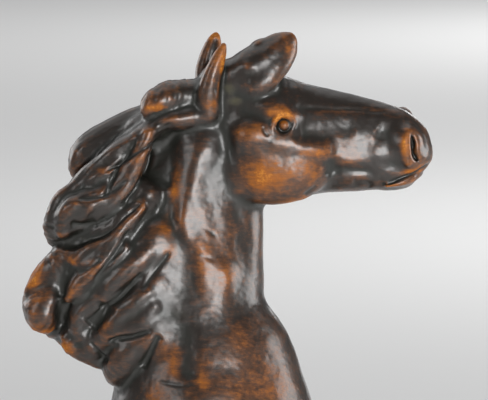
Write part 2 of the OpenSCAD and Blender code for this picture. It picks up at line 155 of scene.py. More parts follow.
# Fine strands laid over the locks on the right side: [x, z, size], with how far the
# first and the last stand out from WISP_Y. Their half sizes are WISP_SECTION times size.
WISP_Y = -8.6
WISP_SECTION = (1.5, 1.3)
WISPS = [
    ([[6.6, 481, 1.3], [3.6, 472.4, 1.9], [1.4, 466.2, 2.1], [-3, 459, 2.1], [-7.4, 452.8, 1.9],
      [-10.8, 446.4, 1.2]], 7.6, 5.4),
    ([[-26, 456.6, 1.5], [-31, 452.6, 2.4], [-34.4, 446.6, 2.4], [-35.2, 440.4, 1.6]], 1.0, -1.5),
    ([[-20, 449.6, 1.6], [-26.4, 449, 2.6], [-30.6, 443.6, 2.6], [-31.4, 436.4, 1.6]], 7.4, 3.8),
    ([[2.6, 449.4, 1.6], [-3.6, 442.6, 2.8], [-8.6, 434.6, 2.9], [-12.4, 427.6, 1.8]], 9.0, 8.0),
    ([[-9, 434.6, 1.2], [-14.6, 431.2, 2.2], [-21.6, 427.4, 2.0], [-26.6, 424.2, 1.2]], 8.4, 6.0),
    ([[-4, 431.4, 1.4], [-9.6, 426.2, 2.7], [-16.6, 422, 3.0], [-21, 417.6, 3.0], [-25.6, 412.6, 2.6],
      [-29.6, 408.6, 1.6]], 10.4, 6.8),
    ([[6, 428.8, 1.6], [0.6, 424.2, 2.7], [-5.4, 419.4, 2.7], [-10.4, 414.6, 1.6]], 10.0, 9.6),
    ([[-23, 431.6, 2.0], [-33.6, 425, 3.0], [-41, 416.4, 3.3], [-44.8, 406.6, 3.2], [-44.8, 399.6, 2.4]],
     0.4, -2.4),
    ([[-36, 408, 3.4], [-40.4, 401.6, 5.2], [-39.6, 396.6, 3.6]], 2.6, 1.6),
    ([[-21.6, 409.4, 1.2], [-25, 401.6, 2.0], [-25.4, 395.2, 2.1], [-21, 389.8, 2.0], [-13.8, 386.8, 1.4]],
     6.6, 3.0),
    ([[6, 411.4, 1.4], [0.6, 408, 2.5], [-5.4, 403, 2.6], [-10.4, 397.6, 2.3], [-14, 393.6, 1.3]],
     12.0, 9.0),
    ([[9, 405.6, 1.4], [2.4, 398.4, 2.3], [-5.4, 394.4, 2.2], [-11.6, 391.6, 1.3]], 12.6, 9.4),
    ([[-30, 389.8, 1.8], [-27.6, 386.4, 2.6], [-22.4, 382.8, 2.4], [-16.4, 378.6, 1.6]], 2.2, 1.0),
]


# ------------------------------------------------------------------ small sums
def smooth_path(stations, steps):
    """Stations on a Catmull-Rom curve through the given ones, steps to each span.

    Between b and c, with neighbours a and d: half of 2b + (c-a)t + (2a-5b+4c-d)t^2
    + (3b-a-3c+d)t^3.
    """
    s = np.asarray(stations, dtype=float)
    wide = np.vstack([s[:1], s, s[-1:]])
    a, b, c, d = (wide[i:len(s) - 1 + i, None, :] for i in range(4))
    t = (np.arange(steps) / steps)[None, :, None]
    spans = 0.5 * (2 * b + (c - a) * t + (2 * a - 5 * b + 4 * c - d) * t ** 2
                   + (3 * b - a - 3 * c + d) * t ** 3)
    return np.vstack([spans.reshape(-1, s.shape[1]), s[-1:]])


def smoothstep(low, high, x):
    """0 below low, 1 above high, and 3t^2 - 2t^3 between."""
    t = np.clip((x - low) / (high - low), 0.0, 1.0)
    return t * t * (3 - 2 * t)


def waves(points, length, seed, count=28):
    """Smooth noise of unit spread: a sum of seeded plane waves about length mm long."""
    draw = np.random.default_rng(seed)
    way = draw.normal(size=(count, 3))
    size = np.linalg.norm(way, axis=1)[:, None]
    way *= 2 * math.pi / length * draw.uniform(0.6, 1.5, (count, 1)) / size
    total = np.zeros(len(points))
    for k, phase in zip(way, draw.uniform(0, 2 * math.pi, count)):
        total += np.cos(points @ k + phase)
    return total * math.sqrt(2 / count)


def mirrored(stations, side):
    """The same stations on one side: y times side."""
    return [[s[0], s[1] * side] + list(s[2:]) for s in stations]


def stepped_back(stations, back):
    """Stations moved back in proportion to how far they are below the hip."""
    hip = HIND_LEG[0][2]
    return [[s[0] - back * (hip - s[2]) / (hip - GROUND_TOP)] + list(s[1:]) for s in stations]


def lowered(stations, degrees):
    """Stations turned nose-down about the elbow, the more the further in front of it, up to 10 mm."""
    out = []
    for x, y, z, depth, width in stations:
        dx, dz = x - ELBOW[0], z - ELBOW[1]
        a = math.radians(degrees * min(max(dx / 10, 0), 1))
        out.append([ELBOW[0] + dx * math.cos(a) + dz * math.sin(a), y,
                    ELBOW[1] - dx * math.sin(a) + dz * math.cos(a), depth, width])
    return out


def hind_placed(stations, side):
    """Stations of a hind leg on one side of the horse; the left leg stands further back."""
    return mirrored(stepped_back(stations, 0 if side == NEAR else HIND_STEP), side)


def fore_placed(stations, side):
    """Stations of a foreleg on one side of the horse; the left forearm is held lower."""
    return lowered(mirrored(stations, side), 0 if side == NEAR else FORE_DROP)


# ------------------------------------------------------------------ modelling clay
class Clay:
    """A block of modelling clay: signed distance in mm on a regular grid, negative inside."""

    def __init__(self, low, high, step):
        self.low = np.array(low, dtype=np.float32)
        self.step = float(step)
        counts = np.ceil((np.array(high) - self.low) / step).astype(int) + 1
        self.field = np.full(counts, AIR, dtype=np.float32)

    def window(self, low, high):
        """The part of the block inside a box: its slices and its three open grids."""
        counts = np.array(self.field.shape)
        first = np.clip(np.floor((np.asarray(low) - self.low) / self.step), 0, counts).astype(int)
        last = np.clip(np.ceil((np.asarray(high) - self.low) / self.step) + 1, 0, counts).astype(int)
        cut = tuple(slice(a, max(a, b)) for a, b in zip(first, last))
        grids = [(self.low[i] + self.step * np.arange(cut[i].start, cut[i].stop, dtype=np.float32))
                 for i in range(3)]
        return cut, (grids[0][:, None, None], grids[1][None, :, None], grids[2][None, None, :])

    def join(self, cut, shape, blend):
        """Smooth union: the smaller distance, less h^2 blend / 4 where h = 1 - |a-b| / blend."""
        old = self.field[cut]
        h = np.clip(blend - np.abs(old - shape), 0, None) / blend
        self.field[cut] = np.minimum(old, shape) - h * h * blend * 0.25

    def cut_away(self, cut, shape, blend):
        """Smooth difference: the larger of old and -shape, plus the same rounding."""
        old = self.field[cut]
        h = np.clip(blend - np.abs(old + shape), 0, None) / blend
        self.field[cut] = np.maximum(old, -shape) + h * h * blend * 0.25

    def strand(self, stations, blend=3.0, steps=4, flutes=0, deep=0.0, twist=0.0, carve=False):
        """Adds or carves a profile carried along a path: an ellipse, fluted if asked.

        With n, w and e the offsets up, sideways and past the ends of the nearest point of
        the path, k0 is the length of (n/depth, w/width, e/least) and k1 that of the same
        over the squares, and the distance is k0 (k0 - 1) / k1. Flutes multiply both half
        sizes by 1 + deep cos(flutes * angle + twist * place).
        """
        path = smooth_path(stations, steps)
        reach = path[:, 3:5].max(axis=1) * (1 + deep) + blend + 2 * self.step
        reach = np.maximum(reach[:-1], reach[1:])[:, None]
        lowest = np.minimum(path[:-1, :3], path[1:, :3]) - reach
        highest = np.maximum(path[:-1, :3], path[1:, :3]) + reach
        whole, _ = self.window(lowest.min(axis=0), highest.max(axis=0))
        origin = np.array([c.start for c in whole])
        shape = np.full([c.stop - c.start for c in whole], AIR, dtype=np.float32)
        if shape.size == 0:
            return
        for place, (a, b) in enumerate(zip(path[:-1], path[1:])):
            cut, grids = self.window(lowest[place], highest[place])
            inner = tuple(slice(c.start - o, c.stop - o) for c, o in zip(cut, origin))
            if 0 in shape[inner].shape:
                continue
            span = b[:3] - a[:3]
            length = float(np.linalg.norm(span))
            along = span / length
            side = np.array([0, 1, 0]) - along[1] * along
            side /= np.linalg.norm(side)
            up = np.cross(along, side)
            d = [g - np.float32(c) for g, c in zip(grids, a[:3])]
            run = d[0] * np.float32(along[0]) + d[1] * np.float32(along[1]) + d[2] * np.float32(along[2])
            share = np.clip(run / length, 0, 1)
            past = run - share * length
            n = d[0] * np.float32(up[0]) + d[1] * np.float32(up[1]) + d[2] * np.float32(up[2])
            w = d[0] * np.float32(side[0]) + d[1] * np.float32(side[1]) + d[2] * np.float32(side[2])
            depth = a[3] + (b[3] - a[3]) * share
            width = a[4] + (b[4] - a[4]) * share
            if flutes:
                angle = np.arctan2(w / width, n / depth)
                wave = 1 + deep * np.cos(flutes * angle + twist * (place + share) / steps)
                depth, width = depth * wave, width * wave
            n, w, e = n / depth, w / width, past / np.minimum(depth, width)
            k0 = np.sqrt(n * n + w * w + e * e)
            k1 = np.sqrt((n / depth) ** 2 + (w / width) ** 2 + (e / np.minimum(depth, width)) ** 2) + 1e-6
            shape[inner] = np.minimum(shape[inner], k0 * (k0 - 1) / k1)
        (self.cut_away if carve else self.join)(whole, shape, blend)

    def pebble(self, centre, half, pitch=0.0, blend=3.0, carve=False):
        """Adds or carves an ellipsoid, turned nose-up by pitch degrees about the Y axis."""
        reach = max(half) + blend + 2 * self.step
        centre = np.asarray(centre, dtype=float)
        cut, grids = self.window(centre - reach, centre + reach)
        if 0 in self.field[cut].shape:
            return
        c, s = math.cos(math.radians(pitch)), math.sin(math.radians(pitch))
        x, y, z = (g - np.float32(v) for g, v in zip(grids, centre))
        x, z = x * c + z * s, z * c - x * s
        k0 = np.sqrt((x / half[0]) ** 2 + (y / half[1]) ** 2 + (z / half[2]) ** 2)
        k1 = np.sqrt((x / half[0] ** 2) ** 2 + (y / half[1] ** 2) ** 2 + (z / half[2] ** 2) ** 2) + 1e-6
        (self.cut_away if carve else self.join)(cut, k0 * (k0 - 1) / k1, blend)

    def flatten(self, centre, towards, reach):
        """Cuts the clay off by a plane within reach of a point, on the side that towards points to."""
        centre, towards = np.asarray(centre, dtype=float), np.asarray(towards, dtype=float)
        towards = towards / np.linalg.norm(towards)
        cut, grids = self.window(centre - reach, centre + reach)
        offsets = [g - np.float32(c) for g, c in zip(grids, centre)]
        height = sum(o * np.float32(t) for o, t in zip(offsets, towards))
        room = reach - np.sqrt(sum(o * o for o in offsets))
        self.field[cut] = np.maximum(self.field[cut], np.minimum(height, room))

    def soften(self, spread):
        """Smooths the clay over a spread in mm: weights 1 2 1 along each axis, at strides of 1, 2, 3..."""
        room = (spread / self.step) ** 2
        stride = 1
        while room >= stride ** 2 / 2:
            for axis in range(3):
                f = np.moveaxis(self.field, axis, 0)
                before = np.concatenate([np.repeat(f[:1], stride, axis=0), f[:-stride]])
                after = np.concatenate([f[stride:], np.repeat(f[-1:], stride, axis=0)])
                f[:] = 0.5 * f + 0.25 * (before + after)
            room -= stride ** 2 / 2
            stride += 1

    def skin(self):
        """The surface of the clay, where the distance is 0: points in mm, and quads facing out."""
        band = 3 * self.step
        grid = openvdb.FloatGrid(band)
        field = np.clip(self.field, -band, band)
        for axis in range(3):            # the block's own walls count as air
            np.moveaxis(field, axis, 0)[[0, -1]] = band
        grid.copyFromArray(field)
        points, quads = grid.convertToQuads(0.0)
        return points.astype(float) * self.step + self.low, quads.astype(np.int64)


class Skin:
    """A modelled surface that tools are pressed into: points in mm, quads and point normals."""

    FLANK = 4                            # mm off the middle, where a flank begins
    CORE, FULL = 0.2, 0.25               # shares of a facet where its depth is read, and that are flat
    LINE_END = 0.18                      # share of a drawn line over which each end fades
    AWAY, FACING = -0.1, 0.35            # a line starts to take on a surface, and takes fully

    def __init__(self, clay):
        self.points, self.quads = clay.skin()
        self.step = clay.step
        a, b = self.quads, np.roll(self.quads, -1, axis=1)
        self.edges = np.unique(np.sort(np.stack([a, b], axis=-1).reshape(-1, 2), axis=1), axis=0)
        self.valence = np.bincount(self.edges.ravel(), minlength=len(self.points))[:, None]
        self.points = self.averaged(self.points, 1)
        self.find_normals()

    def find_normals(self):
        """Point normals: the sum of the cross products of the diagonals of the quads round it."""
        v = self.points[self.quads]
        face = np.cross(v[:, 2] - v[:, 0], v[:, 3] - v[:, 1])
        normals = np.stack([np.bincount(self.quads.ravel(), np.repeat(face[:, i], 4), len(self.points))
                            for i in range(3)], axis=1)
        self.normals = normals / np.maximum(np.linalg.norm(normals, axis=1), 1e-9)[:, None]

    def averaged(self, values, rounds):
        """Each value replaced by the mean of its neighbours', a number of times."""
        i, j = self.edges.T
        for _ in range(rounds):
            columns = [np.bincount(i, values[j, c], len(values)) + np.bincount(j, values[i, c], len(values))
                       for c in range(values.shape[1])]
            values = np.stack(columns, axis=1) / self.valence
        return values

    def swelling(self, rounds):
        """How far each point stands proud of its smoothed surroundings, in mm; hollows are negative."""
        smooth = self.averaged(self.points, rounds)
        return np.sum((self.points - smooth) * self.normals, axis=1)

    def facet(self, side, centre, half, lean):
        """Draws one flank towards a plane inside an ellipse of the side view.

        The plane keeps the flank's depth at the centre, and comes in by lean[0] and lean[1]
        for each mm forwards and upwards. Its share fades from FULL of the ellipse to its rim.
        """
        x, y, z = self.points.T
        dx, dz = x - centre[0], z - centre[1]
        away = np.hypot(dx / half[0], dz / half[1])
        flank = y * side > self.FLANK
        near = flank & (away < self.CORE)
        if not near.any():
            return
        depth = np.median(y[near] * side)
        target = side * (depth - lean[0] * dx - lean[1] * dz)
        self.points[:, 1] += smoothstep(1.0, self.FULL, away) * flank * (target - y)

    def spot(self, centre, half):
        """The weight exp(-r^2) of each point round a centre."""
        x, y, z = (self.points - np.asarray(centre, dtype=float)).T
        return np.exp(-(x / half[0]) ** 2 - (y / half[1]) ** 2 - (z / half[2]) ** 2)

    def trace(self, side, path, width):
        """Weight of each point on one side of the horse along a line drawn in side view.

        The weight is exp(-(d/width)^2) of the distance d in side view to a smooth path of
        [x, z], fading to both ends and on surfaces that turn away from that side.
        """
        line = smooth_path(path, 5)
        low, high = line.min(axis=0) - 3 * width, line.max(axis=0) + 3 * width
        flat = self.points[:, [0, 2]]
        facing = self.normals[:, 1] * side
        inside = (flat > low).all(axis=1) & (flat < high).all(axis=1)
        near = np.nonzero(inside & (facing > self.AWAY))[0]
        p = flat[near]
        best = np.full(len(near), np.inf)
        place = np.zeros(len(near))
        for i, (a, b) in enumerate(zip(line[:-1], line[1:])):
            run = b - a
            share = np.clip((p - a) @ run / max(run @ run, 1e-9), 0, 1)
            gap = np.linalg.norm(p - a - share[:, None] * run, axis=1)
            place = np.where(gap < best, (i + share) / (len(line) - 1), place)
            best = np.minimum(best, gap)
        fade = smoothstep(0.0, self.LINE_END, place) * smoothstep(0.0, self.LINE_END, 1 - place)
        weight = np.zeros(len(self.points))
        weight[near] = np.exp(-(best / width) ** 2) * fade * smoothstep(self.AWAY, self.FACING, facing[near])
        return weight

    def stroke(self, side, path, width, amount):
        """Draws a groove (amount below 0) or a ridge along a line seen from one side."""
        self.points += (amount * self.trace(side, path, width))[:, None] * self.normals


# ------------------------------------------------------------------ the horse in clay
def model_body(clay):
    """Neck, trunk and legs."""
    clay.strand(NECK, blend=4)
    clay.strand(TRUNK, blend=12)
    for side in (NEAR, FAR):
        # shoulder blade, upper arm, breast, rump and flank
        clay.pebble([38, side * 22, 338], [22, 15, 36], 20, 10)
        clay.pebble([62, side * 15, 334], [18, 15, 19], 0, 9)
        clay.pebble([52, side * 26, 312], [19, 12, 17], 0, 8)
        clay.pebble([-62, side * 17, 222], [31, 22, 27], 50, 12)
        clay.pebble([-84, side * 13, 196], [16, 15, 25], 20, 10)
        clay.strand(hind_placed(HIND_LEG, side), blend=9)
        clay.strand(fore_placed(FORELEG, side), blend=8)
        # point of hock, and the tendons behind the cannons
        clay.strand(hind_placed(HOCK, side), blend=4)
        clay.strand(hind_placed(TENDON, side), blend=3)


def model_hooves(clay):
    """Hooves with crisp edges; the raised ones have flat soles."""
    crisp, sole_reach = 0.8, 17.0        # mm
    for side in (NEAR, FAR):
        clay.strand(hind_placed(HIND_HOOF, side), blend=crisp)
        fore = fore_placed(FORE_HOOF, side)
        clay.strand(fore, blend=crisp)
        way = np.subtract(fore[-1][:3], fore[-2][:3])
        clay.flatten(np.add(fore[-1][:3], 0.2 * way), way, sole_reach)


def model_head(clay):
    """The big forms of the head: skull, muzzle, jaw, cheeks and brows."""
    clay.strand(NOSE, blend=5)
    clay.strand(FACE, blend=5)
    clay.strand(JAW, blend=5)
    clay.pebble([36, 0, 497], [12, 10, 9], 0, 5)
    clay.pebble([121.8, 0, 469.6], [7, 9, 7], -15, 4)
    clay.pebble([115, 0, 460], [8.4, 6.8, 4.6], 18, 3)
    clay.pebble([117.4, 8.6, 484.4], [5.4, 4.6, 6.2], -15, 2.5)
    for side in (NEAR, FAR):
        clay.pebble([60, side * 11.5, 466.5], [20, 6.8, 17.4], 8, 5)
        clay.pebble([72, side * 9.5, 462], [13, 6, 10], 20, 5)
        clay.pebble([117.6, side * 6.6, 475.5], [7.2, 5.6, 8.6], -10, 3)
        clay.pebble([63.5, side * 12.4, 489.8], [9.5, 5.4, 4.0], -22, 3.5)
        clay.pebble([52, side * 13.5, 480], [8.5, 6, 6], 0, 5)
        clay.pebble([94, side * 6.6, 461.4], [8.4, 3.4, 2.4], -4, 2.4)


def model_features(clay):
    """Cheek crests, eyes, nostrils, lower lip, forelock and ears."""
    for side in (NEAR, FAR):
        # cheek crest with its knob
        clay.strand([[62, side * 14.6, 476.6, 2.4, 2.6], [74, side * 13.8, 474.2, 2.4, 2.2],
                     [80.6, side * 13.2, 473.2, 2.6, 2.2], [83.6, side * 12.8, 472.9, 2.8, 2.8]], blend=4.5)
        # eye: socket, lids and ball
        clay.pebble([65, side * 18.4, 484.2], [3.5, 3.8, 4.1], 38, 0.6, carve=True)
        lids = [[59.9, 483.2], [61.4, 486.8], [64.8, 489.2], [68.6, 488.4], [70, 485], [67.6, 481],
                [63.6, 479.2], [60.8, 480.2], [59.9, 483.2]]
        clay.strand([[x, side * (17.3 - 0.17 * (x - 60)), z, 1.1, 1.3] for x, z in lids], blend=0.6)
        clay.pebble([65.5, side * 14.6, 484.2], [2.6, 3.0, 2.6], 0, 0.2)
        # nostril: an upright slit, with a thick rim behind it and a fold inside
        clay.strand([[120.6, side * 11.4, 479.6, 0.7, 2.8], [121.2, side * 11.4, 477, 1.2, 3.4],
                     [121.6, side * 11.2, 473.6, 1.4, 3.8], [122.4, side * 10.8, 470, 1.2, 3.2],
                     [123.4, side * 10.4, 468.4, 0.7, 2.6]], blend=0.9, carve=True)
        clay.strand([[119, side * 10.0, 481, 1.2, 1.4], [117.9, side * 10.6, 477, 1.7, 1.8],
                     [117.9, side * 10.4, 472, 1.8, 1.8], [119.2, side * 10.0, 467.8, 1.3, 1.4]], blend=2.4)
        clay.strand([[121.4, side * 8.6, 480.6, 0.6, 0.8], [123.4, side * 8.0, 478.6, 0.7, 0.9],
                     [124.4, side * 7.6, 475, 0.7, 0.9]], blend=2.6)
        clay.pebble([123.4, side * 8.0, 473.6], [1.7, 2.2, 3.4], -10, 0.6)
        # the lower lip, rolled out under the mouth
        clay.strand([[110.5, side * 7.6, 457.4, 1.2, 1.8], [116, side * 7.0, 458.2, 1.6, 2],
                     [121.4, side * 4.6, 460.2, 1.6, 2], [124.4, 0, 461.8, 1.4, 2]], blend=1.4)
    clay.strand(FORELOCK, blend=2.4)
    clay.strand([[47, -11, 503, 4, 3.4], [52, -13.6, 501.4, 4.6, 4], [58, -13.8, 504.4, 5, 3.8],
                 [63.4, -11.6, 510.4, 4.4, 3.4], [67, -9.6, 515.8, 2.8, 2.4]], blend=3)
    clay.strand([[47, -11, 508, 2.6, 2.8], [54, -13, 511, 2.8, 2.6], [60, -12, 516, 2.6, 2.4],
                 [64.8, -9.6, 520.8, 1.8, 1.8]], blend=2.6)
    clay.pebble([50.4, -15, 509.4], [2.4, 2.0, 2.2], 0, 1.8)
    clay.pebble([54, -8, 519.4], [3, 4, 1.8], 25, 1.6)
    clay.strand(EAR_NEAR, blend=2)
    clay.strand(EAR_FAR, blend=2)
    clay.strand([[36, -16.6, 499, 0.8, 1.4], [36.8, -17.6, 506, 0.8, 1.2], [38.6, -17.2, 513, 0.6, 0.9]],
                blend=0.8, carve=True)
    clay.strand([[33, 6.4, 500, 2.6, 1.8], [33.2, 8, 507, 3.0, 1.6], [34.6, 9.8, 515, 2.2, 1.2],
                 [35.4, 11.4, 519.6, 1.1, 0.8]], blend=0.9, carve=True)


def model_mane(clay):
    """The solid mane, its locks, and the fine strands laid over them."""
    for centre, half, pitch in MANE_BULK:
        clay.pebble(centre, half, pitch, 6)
    for stations in LOCKS_RIGHT + LOCKS_LEFT:
        clay.strand(stations, blend=2.6)
    for stations, first, last in WISPS:
        out = np.linspace(first, last, len(stations))
        depth, width = WISP_SECTION
        clay.strand([[x, WISP_Y - o, z, depth * r, width * r] for (x, z, r), o in zip(stations, out)],
                    blend=3.2, steps=3)


# Lines drawn with the modelling tool, seen from the side: [x, z] path, width, depth in mm.
HEAD_LINES = [
    ([[107.6, 457.6], [111, 458.2], [116, 460.4], [122, 462.6], [127, 465.2], [130, 467]], 0.7, -0.8),
    ([[34, 490], [38.5, 480], [42, 469], [47, 458], [53.6, 449.6]], 3.6, -0.8),
    ([[72, 492], [84, 490.8], [98, 490.2], [112, 489]], 1.2, -0.35),
    ([[88, 471], [84, 463], [79.4, 457.4], [73.6, 453]], 3.2, -0.7),
    ([[82, 461], [87, 464], [94, 465], [102, 463.4], [106, 460.6]], 2.0, -0.45),
    ([[105, 482], [110.6, 478], [113.4, 471], [111.6, 463]], 4.4, -0.7),
    ([[72, 480.6], [79, 481], [87, 481.8], [97, 482.4]], 4.0, -0.8),
    ([[104, 456.4], [101, 459], [95, 459.4]], 1.6, -0.4),
    ([[55.8, 484], [56.8, 481.6], [58.6, 479.8]], 0.8, -0.3),
    ([[70.6, 494], [73, 488], [73, 481], [69, 477.6]], 3.4, -0.35),
    ([[79.6, 458], [76.6, 455.6], [74, 453.4]], 0.9, -0.4),
]
NECK_LINES = [
    ([[33, 483], [28.6, 473], [25.6, 464], [24, 449], [27, 435], [34, 419], [43, 404]], 6.0, 1.9),
    ([[41, 478], [40, 467], [42, 452], [45, 440]], 3.6, -0.4),
    ([[46, 456], [45.5, 444], [47, 430], [50, 415]], 3.6, -0.5),
    ([[21, 443], [27.6, 441.4], [36.4, 435.2]], 0.9, -0.3),
    ([[24.6, 430], [30, 427.6], [36.2, 425.2]], 1.1, -0.2),
    ([[22, 400], [23.4, 388], [22.8, 374]], 4.4, -0.8),
    ([[10, 373.4], [18, 372.4], [27, 372.8]], 0.7, -0.2),
    ([[14, 487], [15, 473], [13, 455]], 4.6, -1.6),
]
MANE_LINES = [
    ([[12, 478], [4, 474], [-3, 470], [-14, 463]], 0.9, -1.2),
    ([[-1, 473.6], [-6, 468], [-10, 460], [-13, 453]], 1.0, -1.2),
    ([[7, 474], [5.6, 466], [1, 457], [-6, 448]], 1.1, -1.4),
    ([[-2, 462], [-9, 456], [-16, 453], [-26, 452.6]], 1.0, -0.9),
    ([[-16, 441.6], [-22, 440.6], [-28, 441.4]], 1.4, -0.9),
    ([[5, 452.6], [-4, 446], [-12, 438.4], [-22, 434.6], [-34, 429.4]], 2.0, -2.6),
    ([[-1, 440], [-6, 432], [-11, 424.6], [-18, 417]], 1.1, -1.3),
    ([[-14, 427], [-19, 423], [-25, 420]], 1.1, -0.9),
    ([[-27, 425], [-31, 420], [-32.6, 414], [-31, 408]], 3.2, -1.3),
    ([[-32, 412], [-33, 402], [-31.6, 394]], 2.0, -1.2),
    ([[4, 421], [-2, 414], [-8, 408], [-16, 404]], 1.0, -0.8),
    ([[-12, 407], [-16, 400], [-20, 396]], 3.6, -1.4),
    ([[-12, 389.6], [-6, 391.6], [0, 392.8], [8, 395.6]], 1.0, -1.5),
    ([[11, 394], [7, 386], [3, 378]], 1.4, -1.3),
    ([[16, 430], [9, 421], [3, 412]], 1.2, -0.6),
    ([[-20, 390], [-16, 385], [-11.6, 380]], 1.2, -1.2),
]


# Flat places on the flanks of nose and neck: centre, half size, lean.
FACETS = [((93.5, 473), (14, 11), (0.124, 0.064)), ((26, 443), (10, 15), (0.148, 0.077)),
          ((36, 417), (11, 11), (0.148, 0.077))]


def drawn(skin, lines):
    """Draws a list of lines on both sides of the skin."""
    for path, width, depth in lines:
        for side in (NEAR, FAR):
            skin.stroke(side, path, width, depth)


def maned(points):
    """1 on the mane and 0 in front of it, by a sloping line in side view."""
    x, y, z = points.T
    low, high = MANE_SEAM[1], MANE_SEAM[0]
    line = low[0] + (z - low[1]) * (high[0] - low[0]) / (high[1] - low[1])
    return smoothstep(4, -6, x - line)


def hair(skin, mask, pitch, amount):
    """Combs soft ridges along the locks: waves stretched down a wandering slope, on the mask."""
    turn = np.radians(pitch + 10 * waves(skin.points, 50.0, 10))
    x, y, z = skin.points.T
    x, z = x - x.mean(), z - z.mean()
    along, across = x * np.cos(turn) + z * np.sin(turn), z * np.cos(turn) - x * np.sin(turn)
    coarse = waves(np.stack([along / 3.5, across, y], axis=1), 7.0, 11)
    fine = waves(np.stack([along / 4, across, y], axis=1), 3.0, 12)
    skin.points += (amount * mask * (0.8 * coarse + 0.3 * fine))[:, None] * skin.normals


def tooled(skin, amount=1.0):
    """The slight unevenness that fingers and files leave: waves of three lengths."""
    p = skin.points
    bumps = 0.10 * waves(p, 15.0, 1) + 0.035 * waves(p, 6.5, 2) + 0.014 * waves(p, 2.8, 3)
    skin.points += (amount * bumps)[:, None] * skin.normals


# ------------------------------------------------------------------ pieces
def patina_marks(skin, warm, dark, dusty=()):
    """Attributes for the patina: edge wear, swelling, rubbed and dusty zones, and dark zones that are partly
    dark patina and partly painted shade.
    """
    skin.find_normals()
    small = skin.swelling(max(2, round(2.5 / skin.step ** 2))) / 0.10
    large = skin.swelling(max(6, round(18 / skin.step ** 2))) / 0.55
    marks = {"edge": np.clip(small, -2, 2), "swell": np.clip(large, -2, 2)}
    for key, spots in (("rub", warm), ("dark_and_shade", dark), ("dust", dusty)):
        zone = np.zeros(len(skin.points))
        for centre, half, amount in spots:
            for side in (NEAR, FAR):
                place = [centre[0], centre[1] * side, centre[2]]
                zone = np.maximum(zone, amount * skin.spot(place, half))
        marks[key] = zone
    return marks


def halves(mesh, point, normal, keep):
    """Cuts a bmesh by a plane, keeps one side (1 is the side the normal points to), and caps it."""
    geometry = mesh.verts[:] + mesh.edges[:] + mesh.faces[:]
    bmesh.ops.bisect_plane(mesh, geom=geometry, plane_co=Vector(point), plane_no=Vector(normal),
                           clear_inner=keep > 0, clear_outer=keep < 0)
    rim = [e for e in mesh.edges if e.is_boundary]
    if rim:
        bmesh.ops.triangle_fill(mesh, use_beauty=False, use_dissolve=False, edges=rim)
        for e in rim:
            e.smooth = False


def skin_mesh(name, skin, marks):
    """A mesh datablock of the skin, in metres, with the patina's attributes and smooth faces."""
    mesh = bpy.data.meshes.new(name)
    faces = len(skin.quads)
    mesh.vertices.add(len(skin.points))
    mesh.vertices.foreach_set("co", (skin.points * MM).astype(np.float32).ravel())
    mesh.loops.add(faces * 4)
    mesh.loops.foreach_set("vertex_index", skin.quads.astype(np.int32).ravel())
    mesh.polygons.add(faces)
    mesh.polygons.foreach_set("loop_start", np.arange(0, faces * 4, 4, dtype=np.int32))
    mesh.polygons.foreach_set("use_smooth", np.ones(faces, dtype=bool))
    mesh.update(calc_edges=True)
    for key, values in marks.items():
        layer = mesh.attributes.new(key, "FLOAT", "POINT")
        layer.data.foreach_set("value", values.astype(np.float32))
    return mesh


def cut_piece(name, source, cuts, side, node):
    """A bronze piece cut out of a mesh by planes, which are capped.

    With a side, only faces whose centres lie on it are kept; where that parts a face from
    its neighbour, the edge stays open.
    """
    work = bmesh.new()
    work.from_mesh(source)
    for point, normal, keep in cuts:
        halves(work, [c * MM for c in point], normal, keep)
    if side is not None:
        away = [f for f in work.faces if not f.calc_center_median().y * side > 0]
        bmesh.ops.delete(work, geom=away, context="FACES")
    mesh = bpy.data.meshes.new(name)
    work.to_mesh(mesh)
    work.free()
    return place_piece(name, mesh, patina("bronze_patina"), [node])


def place_piece(name, mesh, material, nodes):
    """Puts a finished mesh in the scene as a piece that stands for CAD nodes."""
    piece = bpy.data.objects.new(name, mesh)
    bpy.context.collection.objects.link(piece)
    mesh.materials.clear()
    mesh.materials.append(material)
    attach(piece, "root")
    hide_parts(*nodes)
    return piece
